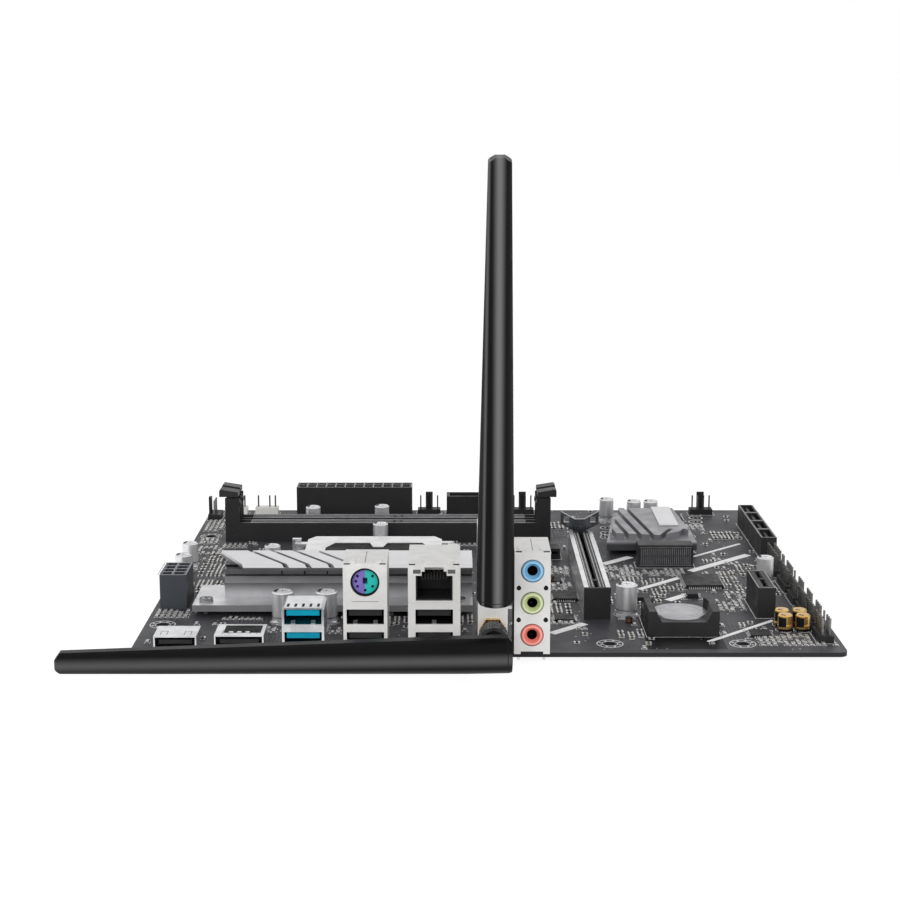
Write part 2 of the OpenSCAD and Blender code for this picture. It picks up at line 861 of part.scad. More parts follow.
// The pale sheet over the front and the top of the jack bodies.
module audio_plate() {
    dimple_d = 1.2;
    dimple_x = audio_w / 2 - 1.5;
    foot_w = 7.6;
    foot_h = 0.9;
    sheet_back_y = plate_front_y + audio_sheet;
    color("#d5d5d3") at_board(audio_x, 0) {
        difference() {
            port_box(audio_w, audio_d, audio_h);
            translate([-audio_w / 2 - cut, sheet_back_y, -cut]) {
                cube([audio_w + 2 * cut, audio_d, audio_h - audio_sheet + cut]);
            }
            for (level = [0:2]) translate([0, 0, jack_low_z + level * jack_pitch]) {
                y_rod(plate_front_y - cut, sheet_back_y + cut, seat_d);
            }
            for (side = [-1, 1], level = [0.5, 1.5]) {
                translate([side * dimple_x, 0, jack_low_z + level * jack_pitch]) {
                    y_rod(plate_front_y - cut, sheet_back_y + cut, dimple_d);
                }
            }
            translate([-foot_w / 2, plate_front_y - cut, -cut]) {
                cube([foot_w, audio_sheet + 2 * cut, foot_h + cut]);
            }
        }
        roof_tabs(audio_w, audio_h);
    }
}

// A jack barrel, turned about its bore, with a dished mouth.
module jack_barrel(level) {
    bore_r = jack_bore_d / 2;
    outer_r = barrel_d / 2;
    bevel = 0.4;
    lip = 1;
    dish = 1.1;
    at_board(audio_x, -io_overhang - barrel_proud, jack_low_z + level * jack_pitch) rotate([-90, 0, 0]) {
        rotate_extrude() polygon([
            [bore_r, dish],
            [outer_r - lip, 0],
            [outer_r - bevel, 0],
            [outer_r, bevel],
            [outer_r, barrel_l - fit_gap],
            [bore_r, barrel_l - fit_gap]
        ]);
    }
}

module audio_jack_blue() {
    color("#6bb3e0") jack_barrel(2);
}

module audio_jack_green() {
    color("#b5cf72") jack_barrel(1);
}

module audio_jack_pink() {
    color("#ea6b66") jack_barrel(0);
}

module wifi_bracket() {
    jack_hole_d = thread_d + 4 * run_gap;
    inner_w = bracket_w - 2 * bracket_t;
    color("#dededc") at_board(antenna_x, 0) difference() {
        port_box(bracket_w, bracket_d, bracket_h);
        translate([-inner_w / 2, plate_back_y, -cut]) cube([inner_w, bracket_d, bracket_h - bracket_t + cut]);
        for (level = [0, 1]) {
            translate([0, 0, jack_z + level * jack_step]) {
                y_rod(-io_overhang - cut, plate_back_y + cut, jack_hole_d);
            }
        }
    }
}

module wifi_card() {
    can_t = 1.5;
    can_z = 13;
    can_h = 14;
    can_w = 15;
    plug_d = 2;
    color("#24423a") at_board(antenna_x + card_x, card_y, 0) {
        translate([0, 0, card_z]) cube([card_t, card_w, card_h]);
        translate([card_t - fit_gap, (card_w - can_w) / 2, can_z]) cube([can_t + fit_gap, can_w, can_h]);
        for (level = [0, 1]) {
            translate([0, plug_y, jack_z + level * jack_step]) {
                x_rod(card_t - fit_gap, card_t + plug_t, plug_d);
            }
        }
    }
}

// The route of a coax lead: straight back from the jack, then round onto the plug on the card.
module antenna_leads() {
    plug_x = card_x + card_t + plug_t;
    bend_y = card_y + plug_y;
    color("#3a3a3c") for (level = [0, 1]) at_board(antenna_x, 0, jack_z + level * jack_step) {
        y_rod(jack_back_y, bend_y, lead_wire_d);
        translate([0, bend_y, 0]) sphere(d = lead_wire_d);
        translate([0, bend_y, 0]) x_rod(plug_x, 0, lead_wire_d);
    }
}

module antenna_jacks() {
    socket_d = 4.2;
    socket_l = 3;
    contact_d = 1;
    color("#d8b25a") for (level = [0, 1]) at_board(antenna_x, 0, jack_z + level * jack_step) {
        difference() {
            y_rod(thread_end_y, plate_back_y + fit_gap, thread_d);
            y_rod(thread_end_y - cut, thread_end_y + socket_l, socket_d);
        }
        y_rod(thread_end_y + 0.8, thread_end_y + socket_l + fit_gap, contact_d);
        y_rod(plate_back_y, plate_back_y + flange_t, flange_d);
        y_rod(plate_back_y + flange_t - fit_gap, jack_back_y, tail_d);
    }
}

module jack_nuts() {
    color("#d2ab52") for (level = [0, 1]) at_board(antenna_x, 0, jack_z + level * jack_step) difference() {
        translate([0, plate_front_y, 0]) rotate([90, 0, 0]) {
            cylinder(d = jack_nut_af / cos(30), h = jack_nut_t, $fn = 6);
        }
        y_rod(plate_front_y - jack_nut_t - cut, plate_front_y + cut, thread_d + 2 * run_gap);
    }
}

// Places an antenna piece on its jack; the turn is about the jack's axis.
module on_jack(level, turn) {
    at_board(antenna_x, 0, jack_z + level * jack_step) rotate([0, turn, 0]) children();
}

// Tilts a piece about the hinge pin.
module on_hinge(lean) {
    translate([0, hinge_y, 0]) rotate([lean, 0, 0]) children();
}

module knurled_nut() {
    groove_d = 0.8;
    knurl_l = knob_l * 0.72;
    bevel = 0.8;
    difference() {
        union() {
            y_rod(nut_front_y + bevel, nut_back_y, knob_d);
            translate([0, nut_front_y + bevel + fit_gap, 0]) rotate([90, 0, 0]) {
                cylinder(d1 = knob_d, d2 = knob_d - 2 * bevel, h = bevel + fit_gap);
            }
        }
        y_rod(nut_bore_end, nut_back_y + cut, thread_d + 2 * run_gap);
        y_rod(nut_front_y - cut, nut_bore_end + cut, stem_d + 2 * run_gap);
        for (i = [0:knurl_count - 1]) {
            rotate([0, i * 360 / knurl_count, 0]) translate([knob_d / 2, 0, 0]) {
                y_rod(nut_back_y - knurl_l, nut_back_y + cut, groove_d);
            }
        }
    }
}

// The stem in the nut, the collar, the neck and the hinge knuckle with its pin.
module swivel_neck() {
    collar_d = knob_d - 3;
    flange_fit_d = thread_d - 2 * slack;
    y_rod(stem_flange_y, stem_flange_y + stem_flange_t, flange_fit_d);
    y_rod(collar_front_y + fit_gap, stem_flange_y + fit_gap, stem_d);
    y_rod(collar_front_y, nut_front_y - slack, collar_d);
    y_rod(hinge_y, collar_front_y + fit_gap, neck_d);
    translate([0, hinge_y, 0]) {
        x_rod(-knuckle_t / 2, knuckle_t / 2, knuckle_d);
        x_rod(-pin_l / 2, pin_l / 2, pin_d);
    }
}

// Outline of the blade from the front, by width and height, with the corners of its tip cut off.
module blade_outline() {
    half = blade_w / 2;
    tip_half = blade_tip_w / 2;
    tip_cut_w = 2;
    tip_cut_l = 1.6;
    polygon([
        [-half + blade_edge, -blade_below],
        [half - blade_edge, -blade_below],
        [half, blade_edge - blade_below],
        [half, blade_straight],
        [tip_half, blade_reach - tip_cut_l],
        [tip_half - tip_cut_w, blade_reach],
        [tip_cut_w - tip_half, blade_reach],
        [-tip_half, blade_reach - tip_cut_l],
        [-half, blade_straight],
        [-half, blade_edge - blade_below]
    ]);
}

// Outline of the blade from the side, by depth and height: a flat back, and a front left to the bow.
module blade_profile() {
    tip_back = blade_back * 0.6;
    tip_front = blade_tip_w / 2 + blade_facet - bow_y;
    polygon([
        [-blade_front - cut, -blade_below],
        [blade_back - blade_edge, -blade_below],
        [blade_back, blade_edge - blade_below],
        [blade_back, blade_straight],
        [tip_back, blade_reach - blade_edge],
        [tip_back - blade_edge, blade_reach],
        [blade_edge - tip_front, blade_reach],
        [-blade_edge - tip_front, blade_reach - 2 * blade_edge],
        [-blade_front - cut, blade_reach - 2 * blade_edge]
    ]);
}

// The round bow of the blade, straight beside the hinge and narrowing to the tip.
module blade_bow() {
    r = blade_w / 2 + blade_facet;
    tip_r = blade_tip_w / 2 + blade_facet;
    translate([0, bow_y, -blade_below - cut]) cylinder(r = r, h = blade_below + cut + blade_straight);
    taper_l = blade_reach - blade_straight + cut;
    translate([0, bow_y, blade_straight]) cylinder(r1 = r, r2 = tip_r, h = taper_l);
}

module antenna_blade() {
    window_half = neck_d / 2 + swing_gap;
    pocket_d = knuckle_d + 2 * swing_gap;
    difference() {
        intersection() {
            blade_bow();
            translate([0, blade_w, 0]) along_y(2 * blade_w) blade_outline();
            translate([-blade_w, 0, 0]) along_x(2 * blade_w) blade_profile();
        }
        x_rod(-knuckle_slot / 2, knuckle_slot / 2, pocket_d);
        x_rod(-pin_l / 2 - slack, pin_l / 2 + slack, pin_d + 2 * run_gap);
        translate([-knuckle_slot / 2, -window_half, -blade_below - cut]) {
            cube([knuckle_slot, window_half + blade_back + cut, blade_below + cut + window_half]);
        }
        translate([-radiator_w / 2 - slack, -radiator_t / 2 - slack, 0]) {
            cube([radiator_w + 2 * slack, radiator_t + 2 * slack, knuckle_d / 2 + 1.4 + radiator_l]);
        }
    }
}

module radiator() {
    translate([-radiator_w / 2, -radiator_t / 2, knuckle_d / 2 + 1]) {
        cube([radiator_w, radiator_t, radiator_l]);
    }
}

module upper_nut() {
    color("#1c1c1e") on_jack(1, 0) knurled_nut();
}

module upper_neck() {
    color("#1c1c1e") on_jack(1, 0) swivel_neck();
}

module upper_blade() {
    color("#202022") on_jack(1, 0) on_hinge(upper_lean) antenna_blade();
}

module upper_radiator() {
    color("#b98a4a") on_jack(1, 0) on_hinge(upper_lean) radiator();
}

module lower_nut() {
    color("#1c1c1e") on_jack(0, -90) knurled_nut();
}

module lower_neck() {
    color("#1c1c1e") on_jack(0, -90) swivel_neck();
}

module lower_blade() {
    color("#202022") on_jack(0, -90) on_hinge(lower_lean) antenna_blade();
}

module lower_radiator() {
    color("#b98a4a") on_jack(0, -90) on_hinge(lower_lean) radiator();
}

// The cells of a power socket, or the pins standing in them.
module cell_grid(columns, rows) {
    for (i = [0:columns - 1], j = [0:rows - 1]) {
        translate([(i - (columns - 1) / 2) * power_pitch, (j - (rows - 1) / 2) * power_pitch, 0]) children();
    }
}

module power_socket(columns, rows) {
    w = columns * power_pitch + 2 * power_edge;
    d = rows * power_pitch + 2 * power_edge;
    difference() {
        centred_box(w, d, power_h);
        cell_grid(columns, rows) translate([0, 0, power_h - cell_d]) {
            centred_box(cell_w, cell_w, cell_d + cut);
        }
    }
}

module power_pins(columns, rows) {
    blade_t = 1.1;
    cell_grid(columns, rows) translate([0, 0, power_h - cell_d]) centred_box(blade_t, blade_t, cell_d * 0.75);
}

module power_sockets() {
    catch_w = 5;
    catch_t = 0.9;
    color("#2a2a2c") {
        at_board(eps_x, eps_y) {
            power_socket(2, 4);
            translate([-power_pitch - power_edge - catch_t, -catch_w / 2, power_h * 0.55]) {
                cube([catch_t + fit_gap, catch_w, power_h * 0.35]);
            }
        }
        at_board(atx_x, atx_y) {
            power_socket(12, 2);
            translate([-catch_w / 2, power_pitch + power_edge - fit_gap, power_h * 0.55]) {
                cube([catch_w, catch_t + fit_gap, power_h * 0.35]);
            }
        }
    }
}

// The section of the regulator heatsink below its top, by depth and height.
module sink_section() {
    web_in = 2.6;
    slope_in = 1.2;
    slope_h = 2.3;
    polygon([
        [sink_body_y, sink_base_top - fit_gap],
        [sink_body_y, shoulder_z],
        [sink_body_y + slope_in, shoulder_z + slope_h],
        [sink_body_y + web_in, shoulder_z + slope_h],
        [sink_body_y + web_in, rib_z],
        [sink_body_y, rib_z],
        [sink_body_y, rib_z + rib_t],
        [sink_body_y + web_in, rib_z + rib_t],
        [sink_body_y + web_in, sink_top - sink_top_t / 2],
        [sink_back_y, sink_top - sink_top_t / 2],
        [sink_back_y, sink_base_top - fit_gap]
    ]);
}

// The section of its top plate, with a lip over the rib.
module sink_top_section() {
    lip = 3;
    polygon([
        [sink_body_y - lip, sink_top - sink_top_t],
        [sink_body_y - lip, sink_top - sink_top_t / 2],
        [sink_body_y - lip / 2, sink_top],
        [sink_back_y, sink_top],
        [sink_back_y, sink_top - sink_top_t]
    ]);
}

module vrm_heatsink() {
    body_in = 3.2;
    groove_w = 1.5;
    groove_d = 1.2;
    groove_l = 32;
    groove_from = 8.7;
    groove_step = 8.3;
    slant = 54;
    slant_run = 11;
    screw_hole_d = 2.8;
    color("#cfd1d2") difference() {
        union() {
            at_board(sink_x - sink_tab, sink_base_y, sink_gap) {
                cube([sink_l + sink_tab, sink_back_y - sink_base_y - 2, sink_base_t]);
            }
            at_board(sink_x + body_in, 0) along_x(sink_l - body_in) sink_section();
            at_board(sink_x, 0) along_x(sink_l) sink_top_section();
        }
        at_board(sink_x, 0, rib_z + rib_t) linear_extrude(sink_top) polygon([
            [-cut, sink_body_y - 4],
            [slant_run, sink_body_y - 4],
            [0, sink_back_y],
            [-cut, sink_back_y]
        ]);
        for (i = [0:3]) {
            at_board(sink_x + groove_from + i * groove_step, sink_back_y + 1.5, sink_top - groove_d) {
                rotate([0, 0, -slant]) cube([groove_l, groove_w, groove_d + cut]);
            }
        }
        for (spot = screw_spots) at_board(spot.x, spot.y, 0) {
            cylinder(d = screw_hole_d, h = sink_base_top + cut);
        }
    }
}

module heatsink_screws() {
    shank_d = 2.4;
    head_d = 5;
    head_t = 1.2;
    color("#9fa1a3") for (spot = screw_spots) at_board(spot.x, spot.y) {
        cylinder(d = shank_d, h = sink_base_top + fit_gap);
        translate([0, 0, sink_base_top]) cylinder(d = head_d, h = head_t);
    }
}

module thermal_pads() {
    pad_d = 9;
    color("#8f9aa6") {
        at_board(stage_x - stage_w, stage_y - pad_d / 2, stage_h) {
            cube([(stage_count - 1) * stage_step + 2 * stage_w, pad_d, sink_gap - stage_h]);
        }
        at_board(chip_sink_x + chip_sink_w / 2, chip_sink_y + chip_sink_d / 2, chipset_h) {
            centred_box(chipset_w * 0.6, chipset_w * 0.6, chip_sink_gap - chipset_h);
        }
    }
}

module chips() {
    color("#1d1d1f") {
        for (i = [0:stage_count - 1]) at_board(stage_x + i * stage_step, stage_y) {
            centred_box(5, stage_w, stage_h);
        }
        at_board(chip_sink_x + chip_sink_w / 2, chip_sink_y + chip_sink_d / 2) {
            centred_box(chipset_w, chipset_w, chipset_h);
        }
        for (chip = chip_spots) at_board(chip[0], chip[1]) centred_box(chip[2], chip[3], chip[4]);
    }
}

module chokes() {
    first_in = 4.6;
    step = 11.5;
    cap_in = 0.8;
    color("#55565a") for (i = [0:7]) at_board(sink_x + first_in + i * step, choke_y) {
        centred_box(choke_w, choke_w, choke_h - cap_in);
        translate([0, 0, choke_h - cap_in - fit_gap]) {
            centred_box(choke_w - 2 * cap_in, choke_w - 2 * cap_in, cap_in + fit_gap);
        }
    }
}

// A can capacitor on its square foot, with the crimp round it.
module can(d, h) {
    r = d / 2;
    foot_h = 0.8;
    crimp_z = 1.6;
    crimp = 0.35;
    edge = 0.4;
    translate([0, 0, 0]) centred_box(d * 0.98, d * 0.98, foot_h);
    rotate_extrude() polygon([
        [0, foot_h - fit_gap],
        [r, foot_h - fit_gap],
        [r, foot_h + crimp_z - crimp],
        [r - crimp, foot_h + crimp_z],
        [r, foot_h + crimp_z + crimp],
        [r, h - edge],
        [r - edge, h],
        [0, h]
    ]);
}

module capacitors() {
    color("#c4c5c7") {
        for (spot = large_cans) at_board(spot.x, spot.y) can(can_large_d, can_large_h);
        for (spot = small_cans) at_board(spot.x, spot.y) can(can_small_d, can_small_h);
    }
}

module audio_capacitors() {
    color("#c9a24a") for (i = [0, 1], j = [0, 1]) {
        at_board(gold_x + i * gold_step_x, gold_y + j * gold_step_y) can(can_gold_d, can_gold_h);
    }
}

module socket_body() {
    rim = 2.4;
    recess = 1.2;
    color("#19191b") at_board(socket_x, socket_y) difference() {
        centred_box(body_w, body_d, body_h);
        translate([0, 0, body_h - recess]) centred_box(body_w - 2 * rim, body_d - 2 * rim, recess + cut);
    }
}

module socket_frame() {
    rail_l = 40;
    ear_t = 2.4;
    ear_w = 3.6;
    ear_y = 15;
    ear_top = plate_mid_z + 1.6;
    bearing_w = 4;
    bearing_t = 4.5;
    bearing_y = 17;
    rest_x = lever_x - lever_l + 6;
    rest_w = 5;
    color("#c3c5c7") at_board(socket_x, socket_y) difference() {
        union() {
            difference() {
                centred_box(frame_w, frame_d, frame_t);
                translate([0, 0, -cut]) {
                    centred_box(body_w + 2 * slack, body_d + 2 * slack, frame_t + 2 * cut);
                }
            }
            for (side = [-1, 1]) {
                translate([0, side * (body_d / 2 + slack + rail_t / 2), 0]) {
                    centred_box(rail_l, rail_t, plate_z);
                }
                translate([plate_hinge_x, side * ear_y, 0]) centred_box(ear_w, ear_t, ear_top);
                translate([lever_x, side * bearing_y, 0]) {
                    centred_box(bearing_w, bearing_t, lever_z + lever_d);
                }
            }
            translate([rest_x, frame_d / 2 - cut, 0]) {
                cube([rest_w, lever_y - frame_d / 2 + 2, lever_z - lever_d / 2 - fit_gap]);
            }
        }
        translate([lever_x, 0, lever_z]) y_rod(-frame_d, frame_d, lever_d + 2 * run_gap);
        translate([plate_hinge_x, 0, plate_mid_z]) y_rod(-frame_d, frame_d, plate_pin_d + 2 * run_gap);
    }
}

// The plate that clamps the processor, with its pins in the frame's ears and a tab into its window.
module load_plate() {
    pin_reach = 16;
    tab_y = 11.5;
    tab_w = 4;
    pin_from = tab_y - tab_w / 2;
    nose_w = 16;
    nose_l = 3;
    left = plate_hinge_x + 4.4;
    right = frame_w / 2 - 6.5;
    far = plate_d / 2;
    corner_x = 3;
    corner_y = 5;
    color("#cbcdcf") at_board(socket_x, socket_y) {
        translate([0, 0, plate_z]) linear_extrude(plate_t) difference() {
            polygon([
                [left, -far + corner_y],
                [left + corner_x, -far],
                [right - corner_x, -far],
                [right, -far + corner_y],
                [right, far - corner_y],
                [right - corner_x, far],
                [left + corner_x, far],
                [left, far - corner_y]
            ]);
            plate_window(0);
        }
        translate([right - fit_gap, -nose_w / 2, plate_z]) cube([nose_l, nose_w, plate_t]);
        for (side = [-1, 1]) {
            translate([plate_hinge_x, side * tab_y - tab_w / 2, plate_z]) {
                cube([left - plate_hinge_x + fit_gap, tab_w, plate_t]);
            }
            translate([plate_hinge_x, side > 0 ? pin_from : -pin_reach, plate_mid_z]) {
                y_rod(0, pin_reach - pin_from, plate_pin_d);
            }
        }
    }
}

// The window of the load plate, with cut corners and a tab reaching in from each long side.
module plate_window(inset) {
    half_w = window_w / 2 - inset;
    half_d = window_d / 2 - inset;
    corner_w = 3.4;
    corner_d = 8;
    tab_half = 3.6 + inset;
    tab_end = 2 + inset / 2;
    tab_d = 7;
    outline = [
        [tab_half, half_d],
        [half_w - corner_w, half_d],
        [half_w, half_d - corner_d],
        [half_w, corner_d - half_d],
        [half_w - corner_w, -half_d],
        [tab_half, -half_d],
        [tab_end, tab_d - half_d],
        [-tab_end, tab_d - half_d],
        [-tab_half, -half_d],
        [corner_w - half_w, -half_d],
        [-half_w, corner_d - half_d],
        [-half_w, half_d - corner_d],
        [corner_w - half_w, half_d],
        [-tab_half, half_d],
        [-tab_end, half_d - tab_d],
        [tab_end, half_d - tab_d]
    ];
    translate([window_x, 0]) polygon(outline);
}

module socket_cover() {
    drop = 0.5;
    low = body_h + fit_gap;
    high = plate_z + plate_t - drop;
    color("#1a1a1c") at_board(socket_x, socket_y) {
        translate([0, 0, low]) linear_extrude(high - low) plate_window(fit_gap);
    }
}

module load_lever() {
    back_y = -20;
    grip_l = 5;
    color("#d0d2d4") at_board(socket_x, socket_y, lever_z) {
        translate([lever_x, 0, 0]) y_rod(back_y, lever_y, lever_d);
        translate([lever_x, lever_y, 0]) sphere(d = lever_d);
        translate([0, lever_y, 0]) x_rod(lever_x - lever_l, lever_x, lever_d);
        translate([lever_x - lever_l, lever_y, 0]) sphere(d = lever_d);
        translate([lever_x - lever_l, 0, 0]) y_rod(lever_y, lever_y + grip_l, lever_d);
    }
}

module backplate() {
    hole_w = 30;
    hole_l = 34;
    color("#8b8d90") at_board(socket_x, socket_y, -pcb_t - lead_h) difference() {
        centred_box(frame_w, frame_d, lead_h);
        translate([0, 0, -cut]) centred_box(hole_l, hole_w, lead_h + 2 * cut);
    }
}

// Room for a latch in the end of a memory slot, with the bore for its pin.
module latch_pocket() {
    floor_z = 1;
    room_l = 10.6;
    translate([-cut, (dimm_w - latch_room) / 2, floor_z]) cube([room_l + cut, latch_room, tower_h + cut]);
    translate([latch_pivot_x, 0, latch_pivot_z]) y_rod(-cut, dimm_w + cut, latch_pin_d + 2 * run_gap);
}

module dimm_slot() {
    inset = 10;
    groove_depth = 5.5;
    key_x = dimm_l * 0.53;
    difference() {
        union() {
            cube([dimm_l, dimm_w, dimm_h]);
            for (x = [0, dimm_l - tower_l]) translate([x, 0, 0]) cube([tower_l, dimm_w, tower_h]);
        }
        translate([inset, (dimm_w - groove_w) / 2, dimm_h - groove_depth]) {
            cube([key_x - inset - key_w / 2, groove_w, groove_depth + cut]);
        }
        translate([key_x + key_w / 2, (dimm_w - groove_w) / 2, dimm_h - groove_depth]) {
            cube([dimm_l - inset - key_x - key_w / 2, groove_w, groove_depth + cut]);
        }
        latch_pocket();
        translate([dimm_l, 0, 0]) mirror([1, 0, 0]) latch_pocket();
    }
}

module dimm_slots() {
    color("#3a3a3d") for (i = [0, 1]) at_board(dimm_x, dimm_y + i * dimm_pitch) dimm_slot();
}

// An end latch: toe under the module, arm, catch and a broad head over the tower.
module dimm_latch() {
    arm_out = 1.4;
    arm_in = 4.8;
    toe_in = 9;
    toe_z = 2;
    toe_t = 1.4;
    catch_in = 6.4;
    catch_z = 15;
    catch_t = 1.6;
    head_out = 2.4;
    head_in = 5.6;
    head_z = tower_h + 0.6;
    head_side = 0.2;
    bevel = 0.6;
    slope = 1.2;
    translate([0, (dimm_w + latch_t) / 2, 0]) along_y(latch_t) polygon([
        [arm_out, toe_z],
        [toe_in, toe_z],
        [toe_in, toe_z + toe_t],
        [arm_in, toe_z + toe_t + 0.5],
        [arm_in, catch_z - 0.8],
        [catch_in, catch_z],
        [catch_in, catch_z + catch_t],
        [arm_in, catch_z + 2 * catch_t],
        [arm_in, head_z + bevel],
        [arm_out, head_z + bevel]
    ]);
    translate([0, dimm_w - head_side, 0]) along_y(dimm_w - 2 * head_side) polygon([
        [-head_out, head_z],
        [head_in, head_z],
        [head_in, latch_h - slope],
        [bevel - head_out, latch_h],
        [-head_out, latch_h - bevel]
    ]);
    translate([latch_pivot_x, 0, latch_pivot_z]) y_rod(0.4, dimm_w - 0.4, latch_pin_d);
}

module left_latch(row) {
    at_board(dimm_x, dimm_y + row * dimm_pitch) dimm_latch();
}

module right_latch(row) {
    at_board(dimm_x + dimm_l, dimm_y + row * dimm_pitch) mirror([1, 0, 0]) dimm_latch();
}

module dimm_latch_rear_left() {
    color("#4a4a4e") left_latch(0);
}

module dimm_latch_rear_right() {
    color("#4a4a4e") right_latch(0);
}

module dimm_latch_front_left() {
    color("#4a4a4e") left_latch(1);
}

module dimm_latch_front_right() {
    color("#4a4a4e") right_latch(1);
}

// A card slot with its groove and the key across it.
module card_slot(length, w) {
    end_wall = 2;
    key_y = 12;
    difference() {
        translate([-w / 2, 0, 0]) cube([w, length, slot_h]);
        translate([-slot_groove_w / 2, end_wall, slot_h - slot_groove_d]) {
            cube([slot_groove_w, key_y - end_wall, slot_groove_d + cut]);
        }
        translate([-slot_groove_w / 2, key_y + key_w, slot_h - slot_groove_d]) {
            cube([slot_groove_w, length - key_y - key_w - end_wall, slot_groove_d + cut]);
        }
    }
}

module pcie_x16_slot() {
    ear_t = 1.4;
    ear_l = 5;
    ear_h = 6.6;
    cap_w = slot_w + 2 * shield_t + 2 * fit_gap;
    color("#1c1c1e") at_board(slot_x, slot_y) difference() {
        union() {
            card_slot(slot_l, slot_w);
            translate([-cap_w / 2, 0, 0]) cube([cap_w, shield_y - fit_gap, slot_h + shield_t]);
            for (side = [-1, 1]) {
                translate([side * (wing_stem_w / 2 + slack + ear_t / 2) - ear_t / 2, slot_l - fit_gap, 0]) {
                    cube([ear_t, ear_l, ear_h]);
                }
            }
        }
        translate([0, slot_l + wing_pivot_y, wing_pivot_z]) x_rod(-slot_w, slot_w, wing_pin_d + 2 * run_gap);
    }
}

module pcie_x16_shield() {
    inner_w = slot_w + 2 * fit_gap;
    inner_h = slot_h + fit_gap;
    mouth_w = 6.2;
    length = slot_l - 2 * shield_y;
    color("#cfd1d3") at_board(slot_x, slot_y + shield_y) difference() {
        translate([-inner_w / 2 - shield_t, 0, 0]) cube([inner_w + 2 * shield_t, length, inner_h + shield_t]);
        translate([-inner_w / 2, -cut, -cut]) cube([inner_w, length + 2 * cut, inner_h + cut]);
        translate([-mouth_w / 2, -cut, 0]) cube([mouth_w, length + 2 * cut, inner_h + shield_t + cut]);
    }
}

// The release latch at the end of the long slot, with a wing to each side.
module pcie_latch() {
    stem_y = 1.5;
    stem_t = 2.8;
    stem_top = 12.5;
    wing_t = 1.8;
    wing_w = 7.7;
    wing_low = 13.4;
    wing_top = 18.6;
    waist_low = 10.4;
    waist_top = 15.4;
    hook_z = 12;
    hook_t = 1.3;
    hook_w = 1.3;
    color("#2c2c30") at_board(slot_x, slot_y + slot_l) {
        translate([-wing_stem_w / 2, stem_y, 1.2]) cube([wing_stem_w, stem_t, stem_top - 1.2]);
        translate([0, wing_pivot_y, wing_pivot_z]) x_rod(-wing_pin_half, wing_pin_half, wing_pin_d);
        translate([-hook_w / 2, -hook_t, hook_z]) cube([hook_w, stem_y + hook_t + fit_gap, hook_t]);
        translate([0, stem_y + stem_t, 0]) along_y(wing_t) difference() {
            polygon([
                [-wing_stem_w / 2, waist_low],
                [wing_stem_w / 2, waist_low],
                [wing_w, wing_low],
                [wing_w, wing_top],
                [wing_stem_w / 2, waist_top],
                [-wing_stem_w / 2, waist_top],
                [-wing_w, wing_top],
                [-wing_w, wing_low]
            ]);
            for (side = [-1, 1]) translate([side * 5.4 - 1.1, wing_low + 0.7]) square([2.2, 2.6]);
        }
    }
}

module pcie_x1_slot() {
    color("#1c1c1e") at_board(short_x, short_y) card_slot(short_l, short_w);
}

// The chipset heatsink: a low base, fins in two directions on it and a plain plate on the fins.
module chipset_heatsink() {
    base_t = 3.4;
    block_h = chip_sink_top - chip_sink_gap;
    block_in = 2;
    left_in = 7.6;
    right_in = 2;
    nose = 6;
    groove_w = 1.8;
    left_step = 5;
    left_turn = 97;
    left_l = 60;
    right_step = 6;
    right_turn = 66;
    right_l = 14;
    floor_z = base_t + 0.3;
    plate_w = 8;
    plate_l = 34;
    plate_t = 0.6;
    plate_x = chip_sink_w - 13.4;
    plate_y = chip_sink_d - plate_l - block_in;
    color("#9da0a3") at_board(chip_sink_x, chip_sink_y, chip_sink_gap) {
        linear_extrude(base_t) polygon([
            [0, 0],
            [chip_sink_w, 0],
            [chip_sink_w, chip_sink_d / 3],
            [chip_sink_w - right_in, chip_sink_d],
            [left_in, chip_sink_d]
        ]);
        difference() {
            linear_extrude(block_h) polygon([
                [block_in, nose],
                [chip_sink_w * 0.6, block_in],
                [chip_sink_w - block_in, 2 * nose],
                [chip_sink_w - right_in - block_in, chip_sink_d - block_in],
                [left_in + block_in, chip_sink_d - block_in]
            ]);
            for (i = [1:4]) translate([i * left_step, 0, floor_z]) {
                rotate([0, 0, left_turn]) cube([left_l, groove_w, block_h]);
            }
            for (i = [0:2]) translate([chip_sink_w * 0.62 + i * right_step, 0, floor_z]) {
                rotate([0, 0, right_turn]) cube([right_l, groove_w, block_h]);
            }
        }
        translate([plate_x, plate_y, block_h - fit_gap]) cube([plate_w, plate_l, plate_t]);
    }
}

// A low card socket with its mouth along the rear side.
module card_socket(w, d, h) {
    mouth_h = 1.2;
    difference() {
        centred_box(w, d, h);
        translate([-w / 2 + 1, -d / 2 - cut, h * 0.45]) cube([w - 2, d * 0.55 + cut, mouth_h]);
    }
}

module card_sockets() {
    upright_w = 5;
    upright_d = card_w + 0.9;
    upright_h = 6.5;
    upright_x = card_x + card_t / 2 + 1.5;
    color("#1c1c1e") {
        for (spot = card_spots) at_board(spot[0], spot[1]) card_socket(spot[2], spot[3], spot[4]);
        at_board(antenna_x, card_y + card_w / 2) difference() {
            translate([upright_x, 0, 0]) centred_box(upright_w, upright_d, upright_h);
            translate([card_x - fit_gap, -card_w / 2 - fit_gap, card_z - fit_gap]) {
                cube([card_t + 2 * fit_gap, card_w + 2 * fit_gap, upright_h]);
            }
        }
    }
}

